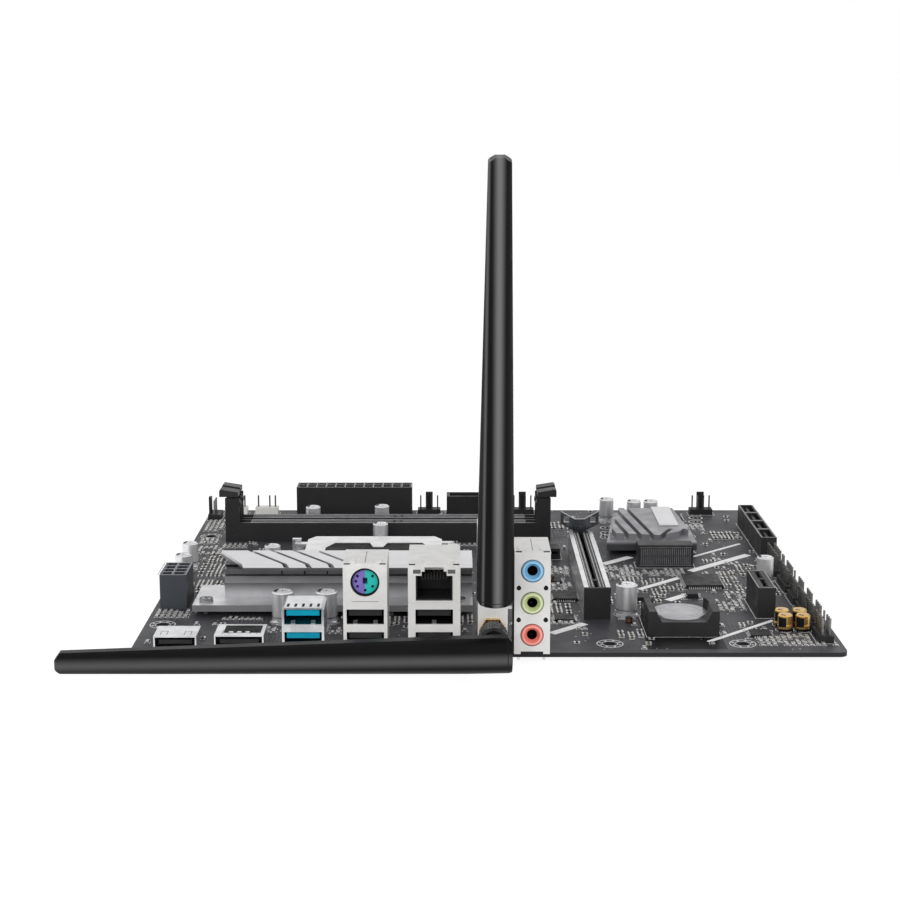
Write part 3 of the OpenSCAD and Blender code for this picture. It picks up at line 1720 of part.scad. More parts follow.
// The coin cell's holder: a front wall with a dip, two arms and a low back.
module battery_holder() {
    pocket_d = coin_d + 0.4;
    dip_half = 7.8;
    dip_z = 5.1;
    dip_slope = 2.6;
    arm_y = 5;
    back_z = 4.6;
    color("#1c1c1e") at_board(battery_x, battery_y) difference() {
        centred_box(holder_w, holder_d, holder_h);
        translate([0, 0, coin_floor]) cylinder(d = pocket_d, h = holder_h);
        along_y(holder_d) polygon([
            [-dip_half, dip_z],
            [dip_half, dip_z],
            [dip_half + dip_slope, holder_h + cut],
            [-dip_half - dip_slope, holder_h + cut]
        ]);
        translate([-holder_w / 2 - cut, arm_y, back_z]) cube([holder_w + 2 * cut, holder_d, holder_h]);
    }
}

module coin_cell() {
    bevel = 0.5;
    r = coin_d / 2;
    color("#d4d6d8") at_board(battery_x, battery_y, coin_floor) rotate_extrude() polygon([
        [0, 0],
        [r - bevel, 0],
        [r, bevel],
        [r, coin_t - bevel],
        [r - bevel, coin_t],
        [0, coin_t]
    ]);
}

// A row of drive sockets, each an open shell round an L-shaped tongue.
module drive_sockets() {
    wall = 1;
    mouth_d = 6.4;
    tongue_t = 1.2;
    tongue_l = 10.4;
    tongue_h = 5.6;
    leg = 1.6;
    color("#1a1a1c") for (i = [0:3]) at_board(sata_x, sata_y + i * sata_pitch + sata_l / 2) {
        difference() {
            centred_box(sata_w, sata_l, sata_h);
            translate([0, 0, sata_h - mouth_d]) {
                centred_box(sata_w - 2 * wall, sata_l - 2 * wall, mouth_d + cut);
            }
        }
        translate([0, 0, sata_h - mouth_d - fit_gap]) {
            centred_box(tongue_t, tongue_l, tongue_h);
            translate([-leg, -tongue_l / 2, 0]) cube([leg, tongue_t, tongue_h]);
        }
    }
}

// Square pins in a grid, one place left empty.
module pin_grid(columns, rows, missing, bottom, top) {
    for (i = [0:columns - 1], j = [0:rows - 1]) if (i + j * columns != missing) {
        translate([(i - (columns - 1) / 2) * pin_pitch, (j - (rows - 1) / 2) * pin_pitch, bottom]) {
            centred_box(pin_t, pin_t, top - bottom);
        }
    }
}

module plain_header(columns, rows, missing) {
    difference() {
        centred_box(columns * pin_pitch, rows * pin_pitch, header_h);
        pin_grid(columns, rows, missing, -cut, header_h + cut);
    }
}

// A fan header: a row of pins with the guide wall behind it.
module fan_header() {
    base_d = 5.4;
    wall_t = 1.2;
    wall_w = 3.2;
    wall_h = 7.2;
    difference() {
        centred_box(fan_pins * pin_pitch, base_d, header_h);
        pin_grid(fan_pins, 1, -1, -cut, header_h + cut);
    }
    translate([-wall_w / 2, base_d / 2 - wall_t, header_h - fit_gap]) cube([wall_w, wall_t, wall_h]);
}

module header_bases() {
    color("#1b1b1d") {
        for (header = pin_headers) at_board(header.x, header.y) plain_header(header[2], header[3], header[4]);
        for (header = fan_headers) at_board(header.x, header.y) rotate([0, 0, header.z]) fan_header();
        at_board(front_usb_x, front_row_y) difference() {
            centred_box(front_usb_w, front_usb_d, front_usb_h);
            translate([0, 0, 1.5]) {
                centred_box(front_usb_w - 2 * front_usb_wall, front_usb_d - 2 * front_usb_wall, front_usb_h);
            }
        }
    }
}

module white_headers() {
    base_d = 4.6;
    base_h = 3.3;
    color("#e9e8e4") for (spot = white_spots) at_board(spot.x, spot.y) difference() {
        centred_box(fan_pins * pin_pitch, base_d, base_h);
        pin_grid(fan_pins, 1, white_gap, -cut, base_h + cut);
    }
}

module connector_pins() {
    color("#c8a85a") {
        for (header = pin_headers) at_board(header.x, header.y) {
            pin_grid(header[2], header[3], header[4], 0, pin_h);
        }
        for (header = fan_headers) at_board(header.x, header.y) rotate([0, 0, header.z]) {
            pin_grid(fan_pins, 1, -1, 0, pin_h);
        }
        for (spot = white_spots) at_board(spot.x, spot.y) pin_grid(fan_pins, 1, white_gap, 0, pin_h);
        at_board(front_usb_x, front_row_y) pin_grid(8, 2, 0, 1.5, front_usb_h - 1.5);
        at_board(eps_x, eps_y) power_pins(2, 4);
        at_board(atx_x, atx_y) power_pins(12, 2);
    }
}

pcb();
solder_leads();
hdmi_shell();
displayport_shell();
port_tongues();
usb3_shell();
usb3_tongues();
ps2_usb_shell();
ps2_insert();
lan_usb_shell();
lan_insert();
audio_housing();
audio_plate();
audio_jack_blue();
audio_jack_green();
audio_jack_pink();
wifi_bracket();
wifi_card();
antenna_jacks();
jack_nuts();
antenna_leads();
upper_nut();
upper_neck();
upper_blade();
upper_radiator();
lower_nut();
lower_neck();
lower_blade();
lower_radiator();
power_sockets();
connector_pins();
vrm_heatsink();
thermal_pads();
chips();
chokes();
capacitors();
audio_capacitors();
socket_body();
socket_frame();
load_plate();
socket_cover();
load_lever();
backplate();
dimm_slots();
dimm_latch_rear_left();
dimm_latch_rear_right();
dimm_latch_front_left();
dimm_latch_front_right();
pcie_x16_slot();
pcie_x16_shield();
pcie_latch();
pcie_x1_slot();
chipset_heatsink();
heatsink_screws();
card_sockets();
battery_holder();
coin_cell();
drive_sockets();
header_bases();
white_headers();
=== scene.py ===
"""Looks of a micro-ATX mainboard with a Wi-Fi card and two blade antennas."""
import math
import random

import bmesh
import bpy
from mathutils import Matrix, Vector


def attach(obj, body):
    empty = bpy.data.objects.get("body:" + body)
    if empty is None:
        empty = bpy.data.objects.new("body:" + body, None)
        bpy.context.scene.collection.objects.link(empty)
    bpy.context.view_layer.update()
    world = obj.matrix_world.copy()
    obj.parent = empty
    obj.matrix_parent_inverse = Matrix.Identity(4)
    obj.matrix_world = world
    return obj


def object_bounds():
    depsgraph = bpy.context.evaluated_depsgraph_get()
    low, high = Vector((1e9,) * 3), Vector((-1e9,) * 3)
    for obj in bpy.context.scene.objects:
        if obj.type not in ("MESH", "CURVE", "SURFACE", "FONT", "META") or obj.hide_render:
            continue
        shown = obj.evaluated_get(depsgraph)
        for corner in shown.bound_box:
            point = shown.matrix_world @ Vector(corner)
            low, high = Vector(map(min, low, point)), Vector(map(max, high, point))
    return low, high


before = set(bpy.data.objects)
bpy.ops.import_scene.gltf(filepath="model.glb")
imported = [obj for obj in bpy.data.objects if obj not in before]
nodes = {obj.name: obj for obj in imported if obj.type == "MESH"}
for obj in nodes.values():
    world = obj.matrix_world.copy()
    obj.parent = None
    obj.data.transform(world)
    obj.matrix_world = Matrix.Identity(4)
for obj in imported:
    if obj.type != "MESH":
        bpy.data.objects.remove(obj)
cad_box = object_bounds()
scene = bpy.context.scene
scene.view_settings.view_transform = "Standard"

MM = 0.001
# The datum hole's place on the board and the board's own size, in millimetres.
DATUM_X = 163.83
DATUM_Y = 10.16
PCB_T = 1.6
BOARD_W = 243.84
BOARD_D = 215.0
BODY = "board"
BOTH_SIDES = (-1.0, 1.0)


def frame_x(x):
    """A distance from the board's left edge, in millimetres, as an X of the frame."""
    return (x - DATUM_X) * MM


def frame_z(z):
    """A height over the board, in millimetres, as a Z of the frame."""
    return (z + PCB_T) * MM


def spot(x, y, z=0.0):
    """A place on the board in millimetres, from its left rear corner, as a point of the frame."""
    return Vector((frame_x(x), (y - DATUM_Y) * MM, frame_z(z)))


def math_node(tree, operation, first, second=0.0):
    """The result of one operation on two values, each a number or the output of a node."""
    node = tree.nodes.new("ShaderNodeMath")
    node.operation = operation
    for slot, value in enumerate((first, second)):
        if isinstance(value, (int, float)):
            node.inputs[slot].default_value = value
        else:
            tree.links.new(value, node.inputs[slot])
    return node.outputs[0]


# Camera, light and floor, in metres and degrees.

CAMERA_AT = (-0.05503, -0.59137, 0.18476)
CAMERA_PITCH = 11.029
FOCAL_PX = 1789.02
IMAGE_PX = 900.0
SENSOR = 36.0
NEAREST = 0.01
FARTHEST = 20.0
# Softboxes: place, the point that each faces, size and power.
SOFTBOXES = {
    "key_softbox": ((-0.45, -1.3, 0.6), (-0.04, 0.0, 0.03), (0.9, 0.9), 12.5),
    "fill_softbox": ((0.9, -1.0, 0.5), (-0.04, 0.05, 0.03), (0.8, 0.8), 6.5),
    "top_softbox": ((0.0, 0.3, 1.3), (-0.04, 0.1, 0.0), (1.2, 1.2), 0.8),
}
# Light from all round, and the floor's greys: as it lights the board, as it is seen, and in its shadow.
AMBIENT = 0.6
FLOOR_HALF = 4.0
FLOOR_GREY = 0.86
FLOOR_GLOW = 0.9
SHADOW_GREY = 0.2


def set_camera():
    lens = bpy.data.cameras.new("photo_lens")
    lens.sensor_width = SENSOR
    lens.sensor_height = SENSOR
    lens.sensor_fit = "HORIZONTAL"
    lens.lens = FOCAL_PX / IMAGE_PX * SENSOR
    lens.clip_start = NEAREST
    lens.clip_end = FARTHEST
    camera = bpy.data.objects.new("photo_camera", lens)
    camera.location = CAMERA_AT
    camera.rotation_euler = (math.radians(90.0 - CAMERA_PITCH), 0.0, 0.0)
    scene.collection.objects.link(camera)
    scene.camera = camera


def white_for_sight(tree):
    """A value of 1 where the eye, a reflection or a clear part meets the surface, else 0."""
    path = tree.nodes.new("ShaderNodeLightPath")
    seen = math_node(tree, "MAXIMUM", path.outputs["Is Camera Ray"], path.outputs["Is Glossy Ray"])
    return math_node(tree, "MAXIMUM", seen, path.outputs["Is Transmission Ray"])


def set_world():
    world = bpy.data.worlds.new("studio")
    world.use_nodes = True
    scene.world = world
    tree = world.node_tree
    glow = tree.nodes["Background"]
    glow.inputs["Color"].default_value = (1.0, 1.0, 1.0, 1.0)
    level = tree.nodes.new("ShaderNodeMapRange")
    level.inputs["To Min"].default_value = AMBIENT
    level.inputs["To Max"].default_value = 1.0
    tree.links.new(white_for_sight(tree), level.inputs["Value"])
    tree.links.new(level.outputs["Result"], glow.inputs["Strength"])


def set_lamp(name, at, towards, size, power):
    light = bpy.data.lights.new(name, "AREA")
    light.shape = "RECTANGLE"
    light.size, light.size_y = size
    light.energy = power
    lamp = bpy.data.objects.new(name, light)
    # Reflections show the white studio alone, so that bright metal keeps its shape from every side.
    lamp.visible_glossy = False
    lamp.location = at
    lamp.rotation_euler = (Vector(towards) - Vector(at)).to_track_quat("-Z", "Y").to_euler()
    scene.collection.objects.link(lamp)


def matt_shader(tree, grey):
    node = tree.nodes.new("ShaderNodeBsdfDiffuse")
    node.inputs["Color"].default_value = (grey, grey, grey, 1.0)
    return node.outputs[0]


def set_floor(level):
    """A white floor under the board, which keeps a soft shadow."""
    mesh = bpy.data.meshes.new("floor")
    corners = [(x * FLOOR_HALF, y * FLOOR_HALF, level) for x, y in ((-1, -1), (1, -1), (1, 1), (-1, 1))]
    mesh.from_pydata(corners, [], [(0, 1, 2, 3)])
    floor = bpy.data.objects.new("floor", mesh)
    scene.collection.objects.link(floor)
    paint = bpy.data.materials.new("floor_white")
    paint.use_nodes = True
    tree = paint.node_tree
    tree.nodes.remove(tree.nodes["Principled BSDF"])
    glow = tree.nodes.new("ShaderNodeEmission")
    glow.inputs["Strength"].default_value = FLOOR_GLOW
    seen = tree.nodes.new("ShaderNodeAddShader")
    tree.links.new(glow.outputs[0], seen.inputs[0])
    tree.links.new(matt_shader(tree, SHADOW_GREY), seen.inputs[1])
    blend = tree.nodes.new("ShaderNodeMixShader")
    tree.links.new(white_for_sight(tree), blend.inputs["Fac"])
    tree.links.new(matt_shader(tree, FLOOR_GREY), blend.inputs[1])
    tree.links.new(seen.outputs[0], blend.inputs[2])
    tree.links.new(blend.outputs[0], tree.nodes["Material Output"].inputs["Surface"])
    mesh.materials.append(paint)


# Surface effects shared by the finishes.

# Traces under the board's mask: runs per metre.
TRACE_PITCH = 700.0


def effect(name, inputs, outputs):
    """An empty shader node group with float inputs and outputs, and its two end nodes."""
    group = bpy.data.node_groups.new(name, "ShaderNodeTree")
    for label, value in inputs:
        socket = group.interface.new_socket(label, in_out="INPUT", socket_type="NodeSocketFloat")
        socket.default_value = value
    for label in outputs:
        group.interface.new_socket(label, in_out="OUTPUT", socket_type="NodeSocketFloat")
    start = group.nodes.new("NodeGroupInput")
    end = group.nodes.new("NodeGroupOutput")
    return group, start, end


def object_place(tree):
    return tree.nodes.new("ShaderNodeTexCoord").outputs["Object"]


def noise(tree, place, scale, detail, rough=0.55):
    node = tree.nodes.new("ShaderNodeTexNoise")
    node.inputs["Detail"].default_value = detail
    node.inputs["Roughness"].default_value = rough
    tree.links.new(place, node.inputs["Vector"])
    tree.links.new(scale, node.inputs["Scale"])
    return node.outputs["Fac"]


def stretched(tree, place, factors):
    node = tree.nodes.new("ShaderNodeVectorMath")
    node.operation = "MULTIPLY"
    tree.links.new(place, node.inputs[0])
    node.inputs[1].default_value = factors
    return node.outputs["Vector"]


def ramp(tree, value, low, high):
    node = tree.nodes.new("ShaderNodeMapRange")
    node.interpolation_type = "SMOOTHSTEP"
    tree.links.new(value, node.inputs["Value"])
    node.inputs["From Min"].default_value = low
    node.inputs["From Max"].default_value = high
    return node.outputs["Result"]


def make_mottle():
    """Soft uneven patches, for colour and sheen that vary a little."""
    group, start, end = effect("mottle", [("Scale", 200.0)], ["Mask"])
    patches = noise(group, object_place(group), start.outputs["Scale"], 4.0)
    group.links.new(ramp(group, patches, 0.3, 0.7), end.inputs["Mask"])
    return group


def make_moulded_grain():
    """The fine spark-eroded grain of moulded plastic."""
    group, start, end = effect("moulded_grain", [("Scale", 3000.0)], ["Height"])
    fine = noise(group, object_place(group), start.outputs["Scale"], 2.0)
    group.links.new(ramp(group, fine, 0.35, 0.65), end.inputs["Height"])
    return group


def make_brushed_lines():
    """Long fine scratches along X, as on brushed or rolled sheet."""
    group, start, end = effect("brushed_lines", [("Scale", 400.0)], ["Height"])
    place = stretched(group, object_place(group), (0.04, 1.0, 1.0))
    group.links.new(noise(group, place, start.outputs["Scale"], 5.0, 0.7), end.inputs["Height"])
    return group


def make_copper_runs():
    """Bundles of board traces under the mask, turned square to each other from patch to patch."""
    group, start, end = effect("copper_runs", [("Pitch", TRACE_PITCH)], ["Height"])
    place = object_place(group)
    patch = group.nodes.new("ShaderNodeTexVoronoi")
    patch.inputs["Scale"].default_value = 60.0
    group.links.new(place, patch.inputs["Vector"])
    turn = group.nodes.new("ShaderNodeSeparateColor")
    group.links.new(patch.outputs["Color"], turn.inputs["Color"])
    axes = group.nodes.new("ShaderNodeSeparateXYZ")
    group.links.new(place, axes.inputs["Vector"])
    across = math_node(group, "MULTIPLY", axes.outputs["X"], start.outputs["Pitch"])
    along = math_node(group, "MULTIPLY", axes.outputs["Y"], start.outputs["Pitch"])
    stripes = []
    for run in (across, along):
        wave = math_node(group, "SINE", math_node(group, "MULTIPLY", run, 2.0 * math.pi))
        stripes.append(ramp(group, wave, 0.25, 0.65))
    pick = ramp(group, turn.outputs["Red"], 0.48, 0.52)
    first = math_node(group, "MULTIPLY", stripes[0], pick)
    second = math_node(group, "MULTIPLY", stripes[1], math_node(group, "SUBTRACT", 1.0, pick))
    used = ramp(group, turn.outputs["Green"], 0.45, 0.55)
    lines = math_node(group, "MULTIPLY", math_node(group, "ADD", first, second), used)
    group.links.new(lines, end.inputs["Height"])
    return group


MOTTLE = make_mottle()
GRAINS = {
    "moulded": make_moulded_grain(),
    "brushed": make_brushed_lines(),
    "copper": make_copper_runs(),
}


def place_group(tree, group, label, value):
    node = tree.nodes.new("ShaderNodeGroup")
    node.node_tree = group
    node.inputs[label].default_value = value
    return node


def mix_colours(tree, factor, first, second):
    node = tree.nodes.new("ShaderNodeMix")
    node.data_type = "RGBA"
    tree.links.new(factor, node.inputs["Factor"])
    for label, value in (("A", first), ("B", second)):
        socket = next(s for s in node.inputs if s.name == label and s.type == "RGBA")
        if isinstance(value, tuple):
            socket.default_value = (*value, 1.0)
        else:
            tree.links.new(value, socket)
    return next(s for s in node.outputs if s.type == "RGBA")


def finish(name, colour, shade, roughness, metallic=0.0, mottle=150.0, grain="moulded", grain_scale=2500.0,
           relief=0.08, depth=0.00002, specular=0.5, coat=0.0):
    """A surface whose colour runs from colour to shade in soft patches, with its own grain."""
    paint = bpy.data.materials.new(name)
    paint.use_nodes = True
    tree = paint.node_tree
    shader = tree.nodes["Principled BSDF"]
    shader.inputs["Metallic"].default_value = metallic
    shader.inputs["Specular IOR Level"].default_value = specular
    shader.inputs["Coat Weight"].default_value = coat
    mask = place_group(tree, MOTTLE, "Scale", mottle).outputs["Mask"]
    tree.links.new(mix_colours(tree, mask, colour, shade), shader.inputs["Base Color"])
    sheen = tree.nodes.new("ShaderNodeMapRange")
    sheen.inputs["To Min"].default_value = roughness[0]
    sheen.inputs["To Max"].default_value = roughness[1]
    tree.links.new(mask, sheen.inputs["Value"])
    tree.links.new(sheen.outputs["Result"], shader.inputs["Roughness"])
    bump = tree.nodes.new("ShaderNodeBump")
    bump.inputs["Strength"].default_value = relief
    bump.inputs["Distance"].default_value = depth
    label = "Pitch" if grain == "copper" else "Scale"
    height = place_group(tree, GRAINS[grain], label, grain_scale).outputs["Height"]
    tree.links.new(height, bump.inputs["Height"])
    tree.links.new(bump.outputs["Normal"], shader.inputs["Normal"])
    return paint


def coloured_by(paint, mask_of, other):
    """Lays a second colour over a finish where mask_of gives 1."""
    tree = paint.node_tree
    shader = tree.nodes["Principled BSDF"]
    under = shader.inputs["Base Color"].links[0].from_socket
    over = mix_colours(tree, mask_of(tree), under, other)
    tree.links.new(over, shader.inputs["Base Color"])


def axis_step(axis, low, high):
    """A mask that goes from 0 at low to 1 at high along one axis of the frame."""
    def mask_of(tree):
        axes = tree.nodes.new("ShaderNodeSeparateXYZ")
        tree.links.new(object_place(tree), axes.inputs["Vector"])
        return ramp(tree, axes.outputs[axis], low, high)
    return mask_of


def painted_highlight_band(axis, middle, reach, slope=0.0):
    """A mask for a painted highlight, 1 on a line along a blade and fading to 0 at reach from it.

    The line is at middle on the axis, and moves off by slope as it rises.
    """
    def mask_of(tree):
        axes = tree.nodes.new("ShaderNodeSeparateXYZ")
        tree.links.new(object_place(tree), axes.inputs["Vector"])
        drift = math_node(tree, "MULTIPLY", axes.outputs["Z"], slope)
        off = math_node(tree, "SUBTRACT", math_node(tree, "SUBTRACT", axes.outputs[axis], middle), drift)
        return ramp(tree, math_node(tree, "ABSOLUTE", off), reach, 0.0)
    return mask_of


def copper_mask(tree):
    return place_group(tree, GRAINS["copper"], "Pitch", TRACE_PITCH).outputs["Height"]


# Finishes of the pieces.

solder_mask = finish("solder_mask", (0.050, 0.049, 0.056), (0.040, 0.039, 0.045), (0.42, 0.52),
                     mottle=60.0, grain="copper", grain_scale=TRACE_PITCH, relief=0.25, depth=0.00003,
                     specular=0.16)
coloured_by(solder_mask, copper_mask, (0.078, 0.077, 0.086))
# The sawn edge and the underside are darker than the top.
coloured_by(solder_mask, axis_step("Z", frame_z(-0.02), frame_z(-0.06)), (0.018, 0.018, 0.020))
solder = finish("solder", (0.80, 0.80, 0.785), (0.64, 0.64, 0.63), (0.25, 0.45), metallic=0.9, mottle=500.0)
port_shell = finish("port_shell", (0.72, 0.73, 0.74), (0.60, 0.61, 0.62), (0.24, 0.38), metallic=1.0,
                    grain="brushed", grain_scale=900.0, relief=0.12)
stack_face = finish("stack_face", (0.68, 0.675, 0.665), (0.63, 0.625, 0.615), (0.36, 0.5), metallic=0.2,
                    mottle=220.0, grain_scale=1800.0, relief=0.1)
bracket_face = finish("bracket_face", (0.74, 0.74, 0.735), (0.68, 0.68, 0.675), (0.3, 0.44), metallic=0.3,
                      mottle=220.0, grain="brushed", grain_scale=700.0, relief=0.1)
black_moulding = finish("black_moulding", (0.0180, 0.0180, 0.0187), (0.0140, 0.0140, 0.0146), (0.42, 0.56),
                        specular=0.24)
socket_moulding = finish("socket_moulding", (0.0195, 0.0195, 0.0202), (0.0160, 0.0160, 0.0166),
                         (0.4, 0.55), grain_scale=1500.0, relief=0.14, specular=0.24)
# The 8-way socket by the left edge is of a greyer plastic than the 24-way one.
coloured_by(socket_moulding, axis_step("X", frame_x(30.0), frame_x(28.0)), (0.042, 0.047, 0.056))
teal_moulding = finish("teal_moulding", (0.001, 0.270, 0.400), (0.001, 0.240, 0.355), (0.34, 0.46),
                       mottle=300.0, specular=0.2)
# Dark teal for painted shade inside the fast USB mouths.
teal_painted_shade = finish("teal_painted_shade", (0.001, 0.050, 0.070), (0.001, 0.040, 0.056), (0.5, 0.65),
                     mottle=300.0, specular=0.2)
purple_moulding = finish("purple_moulding", (0.190, 0.140, 0.450), (0.150, 0.110, 0.380), (0.35, 0.5),
                         mottle=400.0)
blue_moulding = finish("blue_moulding", (0.165, 0.400, 0.640), (0.140, 0.360, 0.590), (0.25, 0.38),
                       mottle=400.0)
lime_moulding = finish("lime_moulding", (0.460, 0.530, 0.260), (0.420, 0.490, 0.225), (0.25, 0.38),
                       mottle=400.0)
pink_moulding = finish("pink_moulding", (0.740, 0.185, 0.150), (0.690, 0.165, 0.130), (0.25, 0.38),
                       mottle=400.0)
# Paler tints of the jack colours, laid on the jack rims as painted highlights.
blue_rim_highlight = finish("blue_rim_highlight", (0.300, 0.560, 0.780), (0.270, 0.520, 0.740), (0.2, 0.32), mottle=400.0)
lime_rim_highlight = finish("lime_rim_highlight", (0.640, 0.710, 0.440), (0.600, 0.670, 0.400), (0.2, 0.32), mottle=400.0)
pink_rim_highlight = finish("pink_rim_highlight", (0.860, 0.330, 0.280), (0.820, 0.300, 0.250), (0.2, 0.32), mottle=400.0)
card_mask = finish("card_mask", (0.012, 0.045, 0.030), (0.009, 0.035, 0.024), (0.35, 0.5), grain="copper",
                   grain_scale=1200.0, relief=0.2)
gold_plate = finish("gold_plate", (0.80, 0.56, 0.22), (0.66, 0.44, 0.16), (0.2, 0.34), metallic=1.0,
                    mottle=500.0)
pin_plate = finish("pin_plate", (0.26, 0.257, 0.25), (0.19, 0.187, 0.182), (0.25, 0.4), metallic=1.0,
                   mottle=600.0)
lead_jacket = finish("lead_jacket", (0.022, 0.022, 0.023), (0.016, 0.016, 0.017), (0.4, 0.55))
nut_black = finish("nut_black", (0.0080, 0.0080, 0.0084), (0.0060, 0.0060, 0.0064), (0.28, 0.36),
                   mottle=200.0, specular=0.35)
cover_black = finish("cover_black", (0.0120, 0.0120, 0.0124), (0.0095, 0.0095, 0.0100), (0.5, 0.62),
                     mottle=120.0, specular=0.07)
antenna_satin = finish("antenna_satin", (0.0034, 0.0034, 0.0035), (0.0026, 0.0026, 0.0027), (0.32, 0.38),
                       mottle=90.0, grain_scale=4200.0, relief=0.06, specular=0.09)
# A painted highlight: a paler band along the middle of the bowed front of each blade.
upper_blade_highlight = antenna_satin.copy()
upper_blade_highlight.name = "upper_blade_highlight"
coloured_by(upper_blade_highlight, painted_highlight_band("X", frame_x(124.1), 2.3 * MM, slope=-0.006), (0.118, 0.118, 0.120))
# A thinner painted highlight, a pale line, runs along the left edge of the upper one.
coloured_by(upper_blade_highlight, painted_highlight_band("X", frame_x(119.05), 0.75 * MM, slope=0.0056), (0.085, 0.085, 0.087))
lower_blade_highlight = antenna_satin.copy()
lower_blade_highlight.name = "lower_blade_highlight"
# The painted highlight band along the lower blade.
coloured_by(lower_blade_highlight, painted_highlight_band("Z", frame_z(8.2), 2.9 * MM), (0.062, 0.062, 0.064))
copper_strip = finish("copper_strip", (0.70, 0.36, 0.18), (0.58, 0.28, 0.13), (0.3, 0.45), metallic=1.0)
sink_brushed = finish("sink_brushed", (0.72, 0.72, 0.735), (0.62, 0.62, 0.635), (0.32, 0.46),
                      metallic=0.85, mottle=120.0, grain="brushed", grain_scale=1200.0, relief=0.2)
# Painted shade darkens the long heatsink's ribs towards the overhang and its foot, and its top is painted
# bright as a painted highlight.
coloured_by(sink_brushed, axis_step("Z", frame_z(4.9), frame_z(11.0)), (0.185, 0.185, 0.192))
coloured_by(sink_brushed, axis_step("Z", frame_z(4.56), frame_z(4.46)), (0.500, 0.500, 0.515))
coloured_by(sink_brushed, axis_step("Z", frame_z(16.25), frame_z(16.5)), (0.66, 0.66, 0.67))
chipset_grey = finish("chipset_grey", (0.31, 0.31, 0.325), (0.25, 0.25, 0.265), (0.34, 0.5), metallic=0.7,
                      mottle=120.0, grain="brushed", grain_scale=1200.0, relief=0.2)
# Painted shade darkens the chipset heatsink's groove floors, and a painted highlight lightens the plain plate
# on its fins.
coloured_by(chipset_grey, axis_step("Z", frame_z(5.6), frame_z(4.6)), (0.075, 0.077, 0.083))
coloured_by(chipset_grey, axis_step("Z", frame_z(8.45), frame_z(8.6)), (0.70, 0.70, 0.71))
zinc = finish("zinc", (0.36, 0.36, 0.37), (0.28, 0.28, 0.29), (0.26, 0.4), metallic=1.0, mottle=500.0)
pad_grey = finish("pad_grey", (0.25, 0.30, 0.36), (0.21, 0.26, 0.32), (0.6, 0.75), relief=0.3)
chip_resin = finish("chip_resin", (0.016, 0.016, 0.017), (0.012, 0.012, 0.013), (0.45, 0.6), mottle=300.0,
                    specular=0.25)
ferrite = finish("ferrite", (0.075, 0.075, 0.080), (0.050, 0.050, 0.055), (0.5, 0.7), mottle=500.0,
                 relief=0.3)
can_silver = finish("can_silver", (0.84, 0.84, 0.855), (0.74, 0.74, 0.755), (0.3, 0.42), metallic=0.8,
                    mottle=250.0)
can_gold = finish("can_gold", (0.74, 0.48, 0.16), (0.58, 0.35, 0.10), (0.16, 0.28), metallic=0.8,
                  mottle=250.0)
# The gold cans stand on black feet.
coloured_by(can_gold, axis_step("Z", frame_z(0.95), frame_z(0.85)), (0.012, 0.012, 0.013))
nickel = finish("nickel", (0.74, 0.74, 0.745), (0.64, 0.64, 0.645), (0.22, 0.34), metallic=0.95,
                mottle=140.0, grain="brushed", grain_scale=1200.0, relief=0.08)
slot_dark = finish("slot_dark", (0.0200, 0.0200, 0.0212), (0.0165, 0.0165, 0.0176), (0.4, 0.55),
                   specular=0.24)
latch_grey = finish("latch_grey", (0.0230, 0.0230, 0.0246), (0.0180, 0.0180, 0.0194), (0.38, 0.52),
                    specular=0.28)
slot_steel = finish("slot_steel", (0.78, 0.78, 0.785), (0.68, 0.68, 0.685), (0.24, 0.36), metallic=0.9,
                    grain="brushed", grain_scale=1000.0, relief=0.1)
smoke = finish("smoke", (0.030, 0.034, 0.038), (0.024, 0.027, 0.031), (0.2, 0.32), coat=0.4)
cell_steel = finish("cell_steel", (0.44, 0.44, 0.46), (0.38, 0.38, 0.40), (0.28, 0.4), metallic=0.9,
                    grain="brushed", grain_scale=900.0, relief=0.12)
white_moulding = finish("white_moulding", (0.74, 0.73, 0.70), (0.68, 0.67, 0.64), (0.4, 0.55), mottle=300.0)
silk_white = finish("silk_white", (0.90, 0.90, 0.90), (0.83, 0.83, 0.83), (0.5, 0.65), mottle=700.0)
mask_black = finish("mask_black", (0.0060, 0.0060, 0.0066), (0.0045, 0.0045, 0.0050), (0.45, 0.55),
                    mottle=200.0, specular=0.15)
# Near-black for painted shade in mouths, bores, slots, slits, grooves and recesses, and for the seams at the
# foot of the blades.
shade_and_seam_black = finish("shade_and_seam_black", (0.007, 0.007, 0.008), (0.005, 0.005, 0.006), (0.55, 0.7),
                     mottle=300.0, specular=0.15)
seam_grey = finish("seam_grey", (0.120, 0.120, 0.125), (0.080, 0.080, 0.085), (0.5, 0.65), mottle=500.0)
# Pale grey for painted highlights along the edges of slots and sockets.
edge_highlight_grey = finish("edge_highlight_grey", (0.380, 0.380, 0.394), (0.310, 0.310, 0.322), (0.3, 0.45), mottle=300.0)
ceramic_tan = finish("ceramic_tan", (0.095, 0.079, 0.062), (0.060, 0.050, 0.040), (0.4, 0.55), mottle=900.0)
lamp_lens = finish("lamp_lens", (0.060, 0.066, 0.062), (0.045, 0.050, 0.047), (0.15, 0.25), mottle=600.0,
                   coat=0.5)
navy_plug = finish("navy_plug", (0.018, 0.026, 0.060), (0.013, 0.019, 0.045), (0.4, 0.55), mottle=500.0)

# The round port is purple on its left half and green on its right half.
PS2_X = 80.3
coloured_by(purple_moulding, axis_step("X", frame_x(PS2_X - 0.05), frame_x(PS2_X + 0.05)),
            (0.010, 0.420, 0.370))

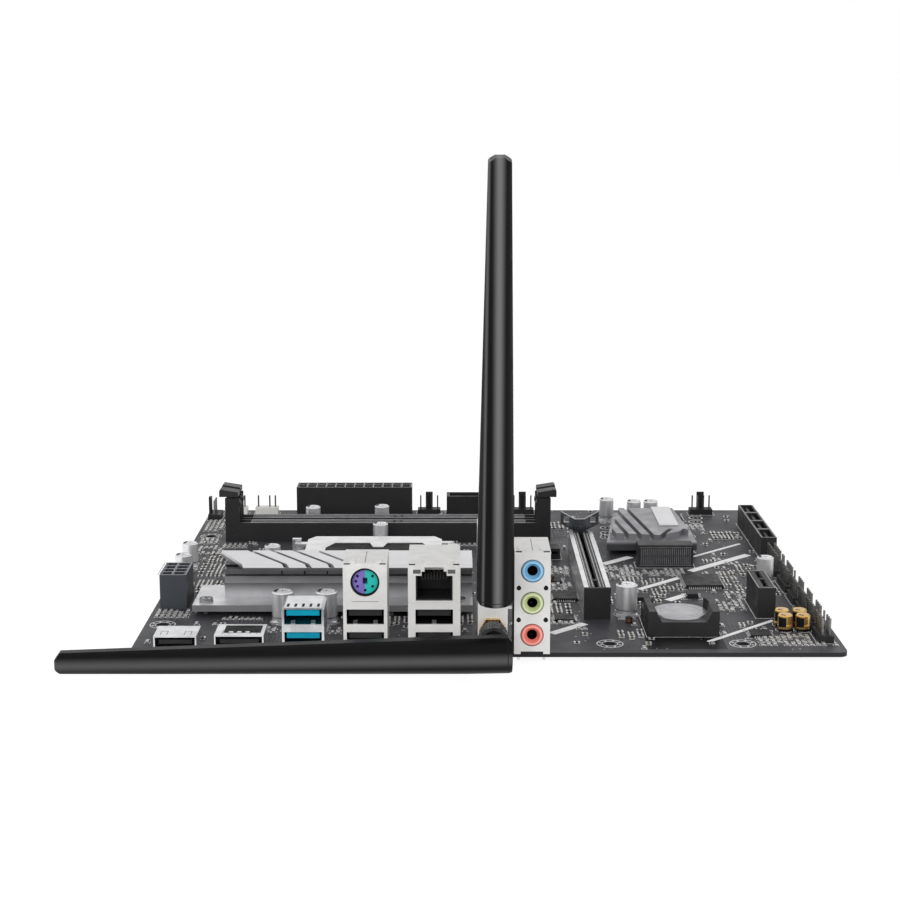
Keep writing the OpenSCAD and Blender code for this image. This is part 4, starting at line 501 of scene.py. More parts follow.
FINISHES = {
    solder_mask: ["pcb"],
    solder: ["solder_leads"],
    port_shell: ["hdmi_shell", "displayport_shell", "usb3_shell"],
    stack_face: ["ps2_usb_shell", "lan_usb_shell", "audio_plate"],
    bracket_face: ["wifi_bracket"],
    black_moulding: ["port_tongues", "lan_insert", "audio_housing", "socket_body", "pcie_x16_slot",
                     "pcie_x1_slot", "card_sockets", "battery_holder", "drive_sockets", "header_bases"],
    socket_moulding: ["power_sockets"],
    teal_moulding: ["usb3_tongues"],
    purple_moulding: ["ps2_insert"],
    blue_moulding: ["audio_jack_blue"],
    lime_moulding: ["audio_jack_green"],
    pink_moulding: ["audio_jack_pink"],
    card_mask: ["wifi_card"],
    gold_plate: ["antenna_jacks", "jack_nuts"],
    pin_plate: ["connector_pins"],
    lead_jacket: ["antenna_leads"],
    nut_black: ["upper_nut", "lower_nut"],
    antenna_satin: ["upper_neck", "lower_neck"],
    cover_black: ["socket_cover"],
    upper_blade_highlight: ["upper_blade"],
    lower_blade_highlight: ["lower_blade"],
    copper_strip: ["upper_radiator", "lower_radiator"],
    sink_brushed: ["vrm_heatsink"],
    chipset_grey: ["chipset_heatsink"],
    zinc: ["heatsink_screws"],
    pad_grey: ["thermal_pads"],
    chip_resin: ["chips"],
    ferrite: ["chokes"],
    can_silver: ["capacitors"],
    can_gold: ["audio_capacitors"],
    nickel: ["socket_frame", "load_plate", "load_lever", "backplate"],
    slot_dark: ["dimm_slots"],
    latch_grey: ["dimm_latch_rear_left", "dimm_latch_rear_right", "dimm_latch_front_left",
                 "dimm_latch_front_right"],
    slot_steel: ["pcie_x16_shield"],
    smoke: ["pcie_latch"],
    cell_steel: ["coin_cell"],
    white_moulding: ["white_headers"],
}


def dress(node_name, paint):
    mesh = nodes[node_name].data
    mesh.materials.clear()
    mesh.materials.append(paint)


for paint, names in FINISHES.items():
    for node_name in names:
        dress(node_name, paint)


# Small solids.

class Heap:
    """Gathers many small closed solids of one finish into one piece."""

    def __init__(self, paint, turned=None):
        self.paint = paint
        self.turned = turned or Matrix.Identity(4)
        self.points = []
        self.faces = []

    def loft(self, rings):
        """Closes equal loops of points, each in order, into one solid with two end caps."""
        start = len(self.points)
        count = len(rings[0])
        for ring in rings:
            self.points.extend(self.turned @ Vector(point) for point in ring)
        for level in range(len(rings) - 1):
            low = start + level * count
            for i in range(count):
                j = (i + 1) % count
                self.faces.append((low + i, low + j, low + count + j, low + count + i))
        last = start + (len(rings) - 1) * count
        self.faces.append(tuple(reversed(range(start, start + count))))
        self.faces.append(tuple(range(last, last + count)))

    def block(self, x, y, z, w, d, h, turn=0.0, edge=0.0):
        """A box that stands at z, with its upper edges cut back by edge."""
        c, s = math.cos(turn), math.sin(turn)

        def ring(inset, level):
            half_w, half_d = w / 2 - inset, d / 2 - inset
            corners = ((-half_w, -half_d), (half_w, -half_d), (half_w, half_d), (-half_w, half_d))
            return [(x + c * u - s * v, y + s * u + c * v, level) for u, v in corners]

        rings = [ring(0.0, z), ring(0.0, z + h - edge)]
        if edge:
            rings.append(ring(edge, z + h))
        self.loft(rings)

    def post(self, x, y, z, h, low_r, top_r, sides=16):
        """A round post or cone frustum that stands at z."""
        turns = [2.0 * math.pi * i / sides for i in range(sides)]
        self.loft([[(x + r * math.cos(a), y + r * math.sin(a), level) for a in turns]
                   for r, level in ((low_r, z), (top_r, z + h))])

    def hoop(self, x, y, z, inner, outer, h, sides=32, start=0.0, sweep=360.0):
        """A flat ring, or an arc of one, as a closed solid."""
        section = ((inner, z), (outer, z), (outer, z + h), (inner, z + h))
        whole = sweep >= 360.0
        steps = sides if whole else sides + 1
        first = len(self.points)
        for i in range(steps):
            a = math.radians(start + sweep * i / sides)
            for r, level in section:
                self.points.append(self.turned @ Vector((x + r * math.cos(a), y + r * math.sin(a), level)))
        for i in range(sides):
            low, high = first + 4 * i, first + 4 * ((i + 1) % steps)
            for k in range(4):
                n = (k + 1) % 4
                self.faces.append((low + k, high + k, high + n, low + n))
        if not whole:
            last = first + 4 * sides
            self.faces.append((first, first + 1, first + 2, first + 3))
            self.faces.append((last + 3, last + 2, last + 1, last))

    def bar(self, x0, y0, x1, y1, width, z, h):
        """A straight flat strip between two points."""
        turn = math.atan2(y1 - y0, x1 - x0)
        self.block((x0 + x1) / 2, (y0 + y1) / 2, z, math.hypot(x1 - x0, y1 - y0), width, h, turn)

    def border(self, x0, y0, x1, y1, width, z, h):
        """Four strips round a rectangle."""
        for y in (y0, y1):
            self.block((x0 + x1) / 2, y, z, x1 - x0 + width, width, h)
        for x in (x0, x1):
            self.block(x, (y0 + y1) / 2, z, width, y1 - y0 - width, h)

    def wire(self, start, end, w, t):
        """A flat wire, w wide in X and t thick, between two points of one X."""
        (x, y0, z0), (_, y1, z1) = start, end
        run = math.hypot(y1 - y0, z1 - z0)
        side_y, side_z = -(z1 - z0) / run * t / 2, (y1 - y0) / run * t / 2
        self.loft([[(x - w / 2, y - side_y, z - side_z), (x - w / 2, y + side_y, z + side_z),
                    (x + w / 2, y + side_y, z + side_z), (x + w / 2, y - side_y, z - side_z)]
                   for y, z in ((y0, z0), (y1, z1))])

    def made(self, name, body=BODY):
        """The heap as a piece that rides on a body; its numbers are board millimetres."""
        mesh = bpy.data.meshes.new(name)
        mesh.from_pydata([spot(*point) for point in self.points], [], self.faces)
        mesh.materials.append(self.paint)
        sort = bmesh.new()
        sort.from_mesh(mesh)
        bmesh.ops.recalc_face_normals(sort, faces=sort.faces)
        sort.to_mesh(mesh)
        sort.free()
        piece = bpy.data.objects.new(name, mesh)
        scene.collection.objects.link(piece)
        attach(piece, body)


# Turns a heap's own Z towards the rear, so that its X and Y are seen as right and up from there.
FACING_REAR = Matrix(((1, 0, 0, 0), (0, 0, -1, 0), (0, 1, 0, 0), (0, 0, 0, 1)))


# Corners of the CAD meshes are compared in whole micrometres.
MICRONS_IN_M = 1e6
MICRONS_IN_MM = 1e3


def solids_of(node_name):
    """The boxes, in board millimetres, of the separate solids in a CAD node."""
    mesh = nodes[node_name].data
    keys = [tuple(round(c * MICRONS_IN_M) for c in vertex.co) for vertex in mesh.vertices]
    owner = {key: key for key in keys}

    def find(key):
        while owner[key] != key:
            owner[key] = owner[owner[key]]
            key = owner[key]
        return key

    for face in mesh.polygons:
        first = find(keys[face.vertices[0]])
        for index in face.vertices[1:]:
            owner[find(keys[index])] = first
    boxes = {}
    for key in owner:
        low, high = boxes.setdefault(find(key), (list(key), list(key)))
        for axis in range(3):
            low[axis] = min(low[axis], key[axis])
            high[axis] = max(high[axis], key[axis])
    shift = (DATUM_X, DATUM_Y, -PCB_T)
    return sorted(tuple(corner[axis] / MICRONS_IN_MM + shift[axis] for corner in box for axis in range(3))
                  for box in boxes.values())


def round_solids(node_name):
    """The middle, radius and top of each upright round solid in a CAD node."""
    return [((x0 + x1) / 2, (y0 + y1) / 2, (x1 - x0) / 2, top)
            for x0, y0, _, x1, y1, top in solids_of(node_name)]


# Places on the board, in millimetres.

FACE_Y = -1.6
HOLES = [(6.35, 33.02), (6.35, 165.1), (163.83, 10.16), (163.83, 165.1), (209.55, 10.16), (209.55, 165.1)]
USB_STACKS = (59.3, 80.3, 103.5)
USB_FLOORS = (2.5, 10.4)
USB_MOUTH = (12.6, 5.2, 13.0)
LAN_X = 103.5
AUDIO_X = 136.45
AUDIO_JACKS = (6.7, 17.8, 28.9)
BRACKET_X = 123.2
COILS = [(172.9, 35.9), (226.6, 56.4), (148.2, 92.6)]
X16_X = 161.8
STANDING = ["hdmi_shell", "displayport_shell", "usb3_shell", "ps2_usb_shell", "lan_usb_shell", "audio_plate",
            "audio_housing", "wifi_bracket", "power_sockets", "capacitors", "audio_capacitors", "chokes",
            "chips", "socket_frame", "dimm_slots", "pcie_x16_slot", "pcie_x1_slot", "card_sockets",
            "battery_holder", "drive_sockets", "header_bases", "white_headers"]
# A solid that starts below this height stands on the board itself.
FOOT_LIMIT = 1.0
# Room kept round the middle of a screw hole and of a coil.
HOLE_ROOM = 4.8
COIL_ROOM = 1.4
# Thickness of print and marks, and how far they reach into what they lie on.
INK = 0.03
SUNK = 0.01
PRINT_H = INK + SUNK


def standing_boxes():
    """The feet of all that stands on the board, its screw holes and its coils."""
    feet = [(b[0], b[1], b[3], b[4]) for name in STANDING for b in solids_of(name) if b[2] < FOOT_LIMIT]
    for places, room in ((HOLES, HOLE_ROOM), (COILS, COIL_ROOM)):
        feet += [(x - room, y - room, x + room, y + room) for x, y in places]
    return feet


def is_free(feet, x, y, reach):
    if not (reach < x < BOARD_W - reach and reach < y < BOARD_D - reach):
        return False
    return all(x + reach < f[0] or x - reach > f[2] or y + reach < f[1] or y - reach > f[3] for f in feet)


# Print, lands and surface parts of the board.

# Diagonal stripes of the print: start, end and width.
STRIPES = [
    (170.4, 117.8, 182.6, 129.6, 3.6), (208.4, 130.0, 231.0, 151.8, 1.7), (204.2, 107.0, 231.4, 133.2, 3.5),
    (181.0, 80.0, 198.4, 96.8, 2.6), (190.2, 64.6, 201.0, 75.0, 3.4), (198.0, 12.4, 225.0, 38.4, 1.8),
    (144.4, 22.2, 157.0, 34.4, 3.3), (112.0, 196.0, 122.0, 205.6, 2.4),
]
# The dark field round the battery: middle and size.
DARK_FIELD = ((190.0, 24.6), (27.0, 41.6))
# Round unused lands for cans, as two rows.
ROUND_LANDS = [(178.5, 190.9), (177.6, 180.8), (176.8, 171.0), (176.1, 163.3),
               (220.0, 207.4), (218.8, 199.6), (217.7, 191.8), (216.9, 184.8)]
LAND_R = 2.7
# Rings round the screw holes: inner and outer radius and sides; and the solder dots between them.
HOLE_RINGS = ((4.35, 4.6, 48), (2.62, 2.8, 40))
HOLE_DOTS = 8
HOLE_DOT_RING = 3.55
# Nodes with a printed outline, how far off it is, and its own width.
OUTLINED = {"header_bases": 0.7, "white_headers": 0.7, "chokes": 0.6, "drive_sockets": 0.6,
            "card_sockets": 0.8, "pcie_x1_slot": 0.7, "battery_holder": 0.8}
OUTLINE_W = 0.2
# The corner marks of the chips: how far off, length and width.
CORNER_GAP = 1.5
CORNER_L = 1.6
CORNER_W = 0.22


def print_holes(silk, tin):
    """Printed rings and a ring of solder dots round each screw hole."""
    for x, y in HOLES:
        for inner, outer, sides in HOLE_RINGS:
            silk.hoop(x, y, -SUNK, inner, outer, PRINT_H, sides)
        for i in range(HOLE_DOTS):
            a = 2.0 * math.pi * (i + 0.5) / HOLE_DOTS
            dot_x, dot_y = x + HOLE_DOT_RING * math.cos(a), y + HOLE_DOT_RING * math.sin(a)
            tin.post(dot_x, dot_y, -SUNK, 0.06, 0.42, 0.38, 12)


def print_round_lands(silk, dark, tin):
    """A dark disc in a printed ring, with two solder dots, at each unused place of a can."""
    for x, y in ROUND_LANDS:
        dark.post(x, y, -SUNK, INK, LAND_R, LAND_R, 28)
        silk.hoop(x, y, -SUNK, LAND_R + 0.05, LAND_R + 0.45, PRINT_H, 36)
        for side in BOTH_SIDES:
            tin.post(x + side * 0.9, y, 0.0, 0.05, 0.55, 0.5, 14)


def print_outlines(silk):
    """Arcs round the cans, outlines round the sockets and corner marks round the chips."""
    for name in ("capacitors", "audio_capacitors"):
        for x, y, r, _ in round_solids(name):
            silk.hoop(x, y, -SUNK, r + 0.45, r + 0.65, PRINT_H, 36, 100.0, 250.0)
    for name, gap in OUTLINED.items():
        for x0, y0, z0, x1, y1, _ in solids_of(name):
            if z0 < FOOT_LIMIT:
                low_x, high_x = max(x0 - gap, OUTLINE_W), min(x1 + gap, BOARD_W - OUTLINE_W)
                low_y, high_y = max(y0 - gap, OUTLINE_W), min(y1 + gap, BOARD_D - OUTLINE_W)
                silk.border(low_x, low_y, high_x, high_y, OUTLINE_W, -SUNK, PRINT_H)
    for x0, y0, _, x1, y1, _ in solids_of("chips"):
        x0, y0, x1, y1 = x0 - CORNER_GAP, y0 - CORNER_GAP, x1 + CORNER_GAP, y1 + CORNER_GAP
        for quarter, (x, y) in enumerate(((x0, y0), (x1, y0), (x1, y1), (x0, y1))):
            a = math.radians(90.0 * quarter)
            run, rise = CORNER_L * math.cos(a), CORNER_L * math.sin(a)
            silk.bar(x, y, x + run, y + rise, CORNER_W, -SUNK, PRINT_H)
            silk.bar(x, y, x - rise, y + run, CORNER_W, -SUNK, PRINT_H)
        silk.post(x0 - 0.9, y0, -SUNK, PRINT_H, 0.32, 0.32, 14)


def print_board():
    silk = Heap(silk_white)
    dark = Heap(mask_black)
    tin = Heap(solder)
    print_holes(silk, tin)
    for x0, y0, x1, y1, width in STRIPES:
        silk.bar(x0, y0, x1, y1, width, -SUNK, PRINT_H)
    (field_x, field_y), (field_w, field_d) = DARK_FIELD
    dark.block(field_x, field_y, -SUNK, field_w, field_d, INK)
    print_round_lands(silk, dark, tin)
    print_outlines(silk)
    silk.made("board_print")
    dark.made("dark_patches")
    tin.made("board_lands")


# Rows of surface parts: start, columns, rows, and 1 where the parts lie across the board.
PART_ROWS = [
    (216.0, 8.6, 14, 3, 0), (212.6, 24.0, 3, 6, 1), (224.6, 18.6, 8, 1, 0), (213.4, 66.4, 5, 3, 0),
    (219.4, 74.4, 4, 4, 1), (184.0, 84.6, 3, 5, 1), (186.0, 100.6, 8, 3, 0), (170.6, 105.6, 6, 3, 0),
    (168.4, 60.0, 4, 6, 1), (168.6, 16.0, 4, 5, 1), (170.4, 33.4, 3, 4, 0), (180.0, 52.0, 12, 2, 0),
    (146.0, 27.6, 6, 3, 0), (145.4, 46.6, 3, 6, 1), (148.4, 79.6, 5, 3, 0), (146.4, 100.4, 6, 4, 0),
    (2.8, 42.4, 6, 4, 0), (2.4, 84.0, 4, 2, 1), (12.6, 79.8, 3, 6, 1), (5.0, 134.6, 5, 4, 0),
    (12.4, 145.4, 6, 2, 0), (27.6, 40.0, 12, 1, 0), (63.4, 22.4, 4, 3, 0), (86.4, 30.0, 4, 6, 1),
    (112.6, 34.4, 3, 5, 1), (95.0, 24.0, 4, 2, 0), (28.0, 24.0, 10, 2, 0), (10.0, 20.0, 2, 5, 1),
    (66.0, 149.0, 14, 1, 0), (96.0, 149.0, 16, 1, 0), (120.4, 84.0, 3, 12, 1), (130.4, 96.0, 2, 10, 1),
    (30.6, 84.0, 2, 14, 1), (20.0, 176.4, 30, 2, 0), (86.0, 176.4, 30, 2, 0), (52.0, 190.0, 8, 3, 0),
    (92.0, 188.0, 8, 4, 0), (130.0, 186.0, 10, 4, 0), (212.4, 176.0, 4, 3, 0), (184.0, 200.6, 8, 2, 0),
    (154.0, 178.0, 3, 6, 1), (224.0, 100.0, 3, 8, 1), (212.0, 112.0, 2, 6, 1), (166.0, 140.0, 2, 8, 1),
    (13.4, 57.0, 3, 10, 1), (10.6, 99.0, 5, 9, 1), (12.0, 120.0, 3, 8, 1), (30.6, 130.0, 3, 6, 1),
    (4.0, 152.6, 4, 3, 0), (2.8, 174.6, 4, 6, 0), (186.6, 62.0, 2, 9, 1), (176.0, 76.0, 3, 10, 1),
    (190.0, 78.6, 3, 4, 1), (172.4, 96.0, 6, 3, 0), (216.0, 84.0, 2, 10, 1), (186.0, 122.6, 9, 2, 0),
    (141.4, 60.0, 4, 5, 0), (140.6, 112.0, 5, 4, 0), (204.0, 52.0, 7, 4, 0), (226.0, 72.0, 3, 6, 1),
    (216.0, 118.0, 5, 3, 0), (222.0, 160.0, 4, 6, 1),
]
PART_SEED = 21
# Shares of the places in a row that are filled, and of the parts that are ceramic.
FILLED_SHARE = 0.84
CERAMIC_SHARE = 0.6
CERAMIC_H = 0.85
FILM_H = 0.5
# Steps from part to part, along their own length and beside it.
LONG_STEP = 3.4
SIDE_STEP = 2.1
# Room kept round a part: to what stands on the board, to other parts and to the stripes.
FOOT_ROOM = 1.45
PART_ROOM = 0.7
STRIPE_ROOM = 1.2
LOOSE_PARTS = 420
TEST_POINTS = 520


def is_on_stripe(x, y):
    for x0, y0, x1, y1, width in STRIPES:
        run, rise = x1 - x0, y1 - y0
        along = min(max(((x - x0) * run + (y - y0) * rise) / (run * run + rise * rise), 0.0), 1.0)
        if math.hypot(x - x0 - along * run, y - y0 - along * rise) < width / 2 + STRIPE_ROOM:
            return True
    return False


def fit_surface_parts(feet):
    """Ceramic and film parts with tinned ends, in rows and scattered, each between two print strokes."""
    draw = random.Random(PART_SEED)
    ceramic = Heap(ceramic_tan)
    film = Heap(chip_resin)
    ends = Heap(solder)
    strokes = Heap(silk_white)
    vias = Heap(solder)
    taken = []

    def part(x, y, across):
        if not is_free(feet, x, y, FOOT_ROOM) or not is_free(taken, x, y, PART_ROOM) or is_on_stripe(x, y):
            return

        def lay(heap, along, aside, z, long, wide, h, edge=0.0):
            """A box off the part's middle, with its length the way the part lies."""
            if across:
                heap.block(x + along, y + aside, z, long, wide, h, edge=edge)
            else:
                heap.block(x + aside, y + along, z, wide, long, h, edge=edge)

        body, h = (ceramic, CERAMIC_H) if draw.random() < CERAMIC_SHARE else (film, FILM_H)
        lay(body, 0.0, 0.0, 0.0, 0.9, 1.1, h, 0.08)
        for side in BOTH_SIDES:
            lay(ends, side * 0.75, 0.0, 0.0, 0.66, 1.16, h + 0.03, 0.08)
            lay(strokes, 0.0, side * 0.88, -SUNK, 2.0, 0.2, PRINT_H)
        taken.append((x - 0.8, y - 0.8, x + 0.8, y + 0.8))

    for x, y, columns, rows, across in PART_ROWS:
        step_x, step_y = (LONG_STEP, SIDE_STEP) if across else (SIDE_STEP, LONG_STEP)
        for i in range(columns):
            for j in range(rows):
                if draw.random() < FILLED_SHARE:
                    part(x + i * step_x, y + j * step_y, across)
    for _ in range(LOOSE_PARTS):
        x, y = draw.uniform(3.0, BOARD_W - 3.0), draw.uniform(4.0, BOARD_D - 3.0)
        part(round(x * 2.0) / 2.0, round(y * 2.0) / 2.0, draw.random() < 0.5)
    for _ in range(TEST_POINTS):
        x, y = draw.uniform(2.0, BOARD_W - 2.0), draw.uniform(3.0, BOARD_D - 2.0)
        if is_free(feet, x, y, 0.6) and is_free(taken, x, y, 0.6):
            vias.post(x, y, -SUNK, 0.04, 0.26, 0.22, 10)
    ceramic.made("ceramic_parts")
    film.made("film_parts")
    ends.made("part_ends")
    strokes.made("part_strokes")
    vias.made("test_points")


# A chip with sides at least this long has fine leads on all four of them.
FINE_SIDE = 5.9
FINE_LEADS = (0.8, 0.36)
COARSE_LEADS = (1.27, 0.5)
LEAD_MARGIN = 0.9


def lead_chips():
    """Gull-wing leads along the chips, and a moulded dimple at each first lead."""
    leads = Heap(solder)
    dimples = Heap(mask_black)
    for x0, y0, _, x1, y1, top in solids_of("chips"):
        fine = min(x1 - x0, y1 - y0) >= FINE_SIDE
        pitch, width = FINE_LEADS if fine else COARSE_LEADS
        knee = top * 0.5
        # Shoulder, drop and foot of a lead: reach from the chip, length, height of its start and its own.
        steps = ((0.2, 0.5, knee - 0.1, 0.15), (0.48, 0.15, 0.04, knee), (0.8, 0.7, 0.0, 0.14))
        runs = [(y0, y1, x0, -1, False), (y0, y1, x1, 1, False)]
        if fine:
            runs += [(x0, x1, y0, -1, True), (x0, x1, y1, 1, True)]
        for low, high, side, out, along_x in runs:
            low, high = low + LEAD_MARGIN, high - LEAD_MARGIN
            count = int((high - low) / pitch) + 1
            start = (low + high - (count - 1) * pitch) / 2
            for i in range(count):
                at = start + i * pitch
                for reach, length, z, h in steps:
                    place = side + out * reach
                    if along_x:
                        leads.block(at, place, z, width, length, h)
                    else:
                        leads.block(place, at, z, length, width, h)
        dimples.post(x0 + 1.1, y0 + 1.1, top - 0.02, 0.03, 0.4, 0.36, 18)
    leads.made("chip_leads")
    dimples.made("chip_dimples")


# Ports.

# USB spring bumps: width and thickness, and the ends of their two strips, behind the face and over the floor.
SPRING_W = 1.5
SPRING_T = 0.18
SPRING_STRIPS = (((0.5, 0.1), (1.7, 0.85)), ((1.6, 0.85), (5.4, 0.15)))
LINING_T = 0.05
USB_CONTACTS = 4
USB_CONTACT_SPAN = 7.0


def line_usb_mouths():
    """Dark linings of painted shade in the mouths, spring bumps on the floors and contacts under the tongues.
    """
    black_shade_lining = Heap(shade_and_seam_black)
    teal_shade_lining = Heap(teal_painted_shade)
    springs = Heap(nickel)
    contacts = Heap(gold_plate)
    w, h, d = USB_MOUTH
    start, end = FACE_Y + 0.7, FACE_Y + d - 2.6
    middle, length = (start + end) / 2, end - start
    contact_step = USB_CONTACT_SPAN / (USB_CONTACTS - 1)
    for x in USB_STACKS:
        bumps = (0.0,) if x == LAN_X else (-3.4, 3.4)
        lining = teal_shade_lining if x == USB_STACKS[0] else black_shade_lining
        for z in USB_FLOORS:
            # Painted shade lines the floor, roof, sides and back of each mouth.
            for level in (z, z + h - LINING_T):
                lining.block(x, middle, level, w - 0.1, length, LINING_T)
            for side in BOTH_SIDES:
                lining.block(x + side * (w / 2 - 0.03), middle, z + 0.06, LINING_T, length, h - 0.12)
            lining.block(x, end - 0.05, z + 0.06, w - 0.2, 0.06, h - 0.12)
            for bump in bumps:
                for strip in SPRING_STRIPS:
                    ends = [(x + bump, FACE_Y + back, z + rise) for back, rise in strip]
                    springs.wire(*ends, SPRING_W, SPRING_T)
            tongue_low = z + h - 2.4
            for i in range(USB_CONTACTS):
                at = x - USB_CONTACT_SPAN / 2 + i * contact_step
                contacts.block(at, 3.4, tongue_low - 0.06, 1.0, 7.0, 0.08)
    black_shade_lining.made("usb_shade_linings")
    teal_shade_lining.made("fast_usb_shade_linings")
    springs.made("usb_springs")
    contacts.made("usb_contacts")


NETWORK_WIRES = 8
NETWORK_PITCH = 1.02


def fill_network_jack():
    """Wires behind a comb, and two lamps over the jack."""
    wires = Heap(gold_plate)
    comb = Heap(slot_dark)
    lamps = Heap(lamp_lens)
    for i in range(NETWORK_WIRES):
        x = LAN_X + (i - (NETWORK_WIRES - 1) / 2) * NETWORK_PITCH
        wires.wire((x, 12.0, 26.4), (x, 7.4, 24.6), 0.3, 0.25)
    for i in range(NETWORK_WIRES + 1):
        comb.block(LAN_X + (i - NETWORK_WIRES / 2) * NETWORK_PITCH, 4.0, 25.0, 0.4, 5.2, 2.1)
    for side in BOTH_SIDES:
        lamps.block(LAN_X + side * 5.8, FACE_Y + 0.24, 28.08, 2.5, 0.42, 1.26)
    wires.made("network_contacts")
    comb.made("network_comb")
    lamps.made("network_lamps")


def ring_round_port():
    """A black collar of painted shade in the mouth of the round port, and the fold line under it."""
    collar = Heap(shade_and_seam_black, FACING_REAR)
    collar.hoop(PS2_X, 25.0, 0.22, 4.3, 4.86, 1.2, 56)
    collar.made("round_port_shade_collar")
    line = Heap(seam_grey, FACING_REAR)
    line.block(PS2_X, 18.4, 1.58, 9.0, 0.16, 0.04)
    line.made("round_port_line")


# The dimples of the audio plate: off its middle, and above the jack below them.
DIMPLE_REACH = 4.55
DIMPLE_RISE = 5.2
# Painted highlights on the jack rims: the finish and name for each jack.
JACK_RIM_HIGHLIGHTS = ((pink_rim_highlight, "pink"), (lime_rim_highlight, "green"), (blue_rim_highlight, "blue"))


def line_audio_jacks():
    """Dark bores, outlines and plate dimples of painted shade, plug springs, and painted highlights on the
    rims of the three jacks.
    """
    lining = Heap(shade_and_seam_black, FACING_REAR)
    ring = Heap(shade_and_seam_black, FACING_REAR)
    spring = Heap(nickel)
    for z in AUDIO_JACKS:
        # Painted shade lines each bore and closes its end.
        lining.hoop(AUDIO_X, z, -10.6, 1.6, 1.74, 11.4, 32)
        lining.post(AUDIO_X, z, -10.8, 0.2, 1.72, 1.72, 32)
        # A thin dark ring of painted shadow round each jack.
        ring.hoop(AUDIO_X, z, 1.57, 3.73, 3.92, 0.06, 56)
        spring.wire((AUDIO_X, 4.0, z - 1.5), (AUDIO_X, 7.0, z - 0.9), 0.9, 0.2)
    # Dark discs of painted shade in the plate's dimples.
    for low_z in AUDIO_JACKS[:-1]:
        for side in BOTH_SIDES:
            ring.post(AUDIO_X + side * DIMPLE_REACH, low_z + DIMPLE_RISE, 1.55, 0.08, 0.82, 0.78, 24)
    lining.made("audio_bore_shade")
    ring.made("audio_shade_outlines")
    spring.made("audio_springs")
    for z, (paint, colour) in zip(AUDIO_JACKS, JACK_RIM_HIGHLIGHTS):
        # A ring of painted highlight on the rim of each jack.
        rim = Heap(paint, FACING_REAR)
        rim.hoop(AUDIO_X, z, 2.06, 2.72, 3.28, 0.07, 56)
        rim.made(colour + "_jack_rim_highlight")


# Tops of the port housings.
PS2_TOP = 31.5
LAN_TOP = 31.3
AUDIO_TOP = 35.7
# Low shells: middle, width and top.
HDMI_SHELL = (16.0, 14.5, 6.3)
DISPLAY_SHELL = (37.6, 16.7, 6.6)
SEAM_W = 0.22
SEAM_H = 0.04


def seam_roofs():
    """Joins and folded corners of the port shells."""
    seams = Heap(seam_grey)
    for x, top, back in ((PS2_X, PS2_TOP, 15.0), (AUDIO_X, AUDIO_TOP, 16.0)):
        seams.block(x, (back + FACE_Y) / 2 + 0.6, top - SUNK, SEAM_W, back - FACE_Y - 1.2, SEAM_H)
    # Dark blocks of painted shade in the slits at the folded top corners of the mouths.
    slits = Heap(shade_and_seam_black)
    for x, w, top in ((PS2_X, 14.8, PS2_TOP), (AUDIO_X, 12.1, AUDIO_TOP), (LAN_X, 17.6, LAN_TOP)):
        for side in BOTH_SIDES:
            slits.block(x + side * (w / 2 - 1.4), FACE_Y + 0.18, top - 0.3, 2.1, 0.4, 0.32)
    slits.made("fold_slit_shade")
    for x, w, top in (HDMI_SHELL, DISPLAY_SHELL):
        for share in (-0.28, 0.28):
            tongue = x + share * w
            for edge in (tongue - 1.1, tongue + 1.1):
                seams.block(edge, 2.0, top - SUNK, SEAM_W, 4.2, SEAM_H)
            seams.block(tongue, 4.1, top - SUNK, 2.2, SEAM_W, SEAM_H)
    seams.made("shell_seams")
    # Dark blocks of painted shade in the hollow on top of the display port shell and in the roof slits of the
    # fast USB shell.
    hollows = Heap(shade_and_seam_black)
    hollows.block(38.4, 5.6, 6.59, 12.6, 8.6, 0.04)
    for i in range(5):
        hollows.block(USB_STACKS[0] + (i - 2) * 2.556, 1.6, 15.96, 0.86, 3.9, 0.22)
    hollows.made("shell_hollow_shade")
    tabs = Heap(port_shell)
    for x in (34.6, 37.4, 40.2):
        tabs.block(x, 1.9, 6.62, 1.5, 1.2, 0.2, edge=0.08)
    tabs.made("display_tabs")


def slot_bracket():
    """Painted shade in the lance slots beside the antenna jacks, and the folded ear of the card's bracket."""
    slots = Heap(shade_and_seam_black, FACING_REAR)
    slots.block(BRACKET_X + 4.0, 20.6, 1.58, 0.5, 3.2, 0.04)
    for z in (19.1, 22.1):
        slots.block(BRACKET_X + 3.4, z, 1.58, 0.8, 0.4, 0.04)
    slots.made("bracket_slot_shade")
    ear = Heap(bracket_face)
    ear.block(BRACKET_X + 5.7, 0.4, 15.4, 1.5, 1.2, 1.1, edge=0.2)
    ear.made("bracket_ear")
    plug = Heap(navy_plug)
    for z in (18.0, 20.2):
        plug.block(BRACKET_X + 5.9, 3.0, z, 1.1, 4.0, 1.6, edge=0.2)
    plug.made("bracket_plugs")


# Slots, cans and heatsinks.

# Memory slots: their middles, their runs of contacts on both sides of the key, and their tops.
MEMORY_ROWS = (158.25, 167.75)
MEMORY_RUNS = ((24.4, 84.6), (88.8, 141.0))
MEMORY_PITCH = 0.85
MEMORY_TOP = 8.3
# Card slots: middle, start and length.
CARD_SLOTS = ((X16_X, 39.7, 89.2), (223.0, 41.5, 25.0))
X16_TOP = 11.2
# Painted highlights along edges, as pale lines: width and height.
EDGE_W = 0.35
EDGE_H = 0.05
RIM_W = 0.3
RIM_INSET = 0.25


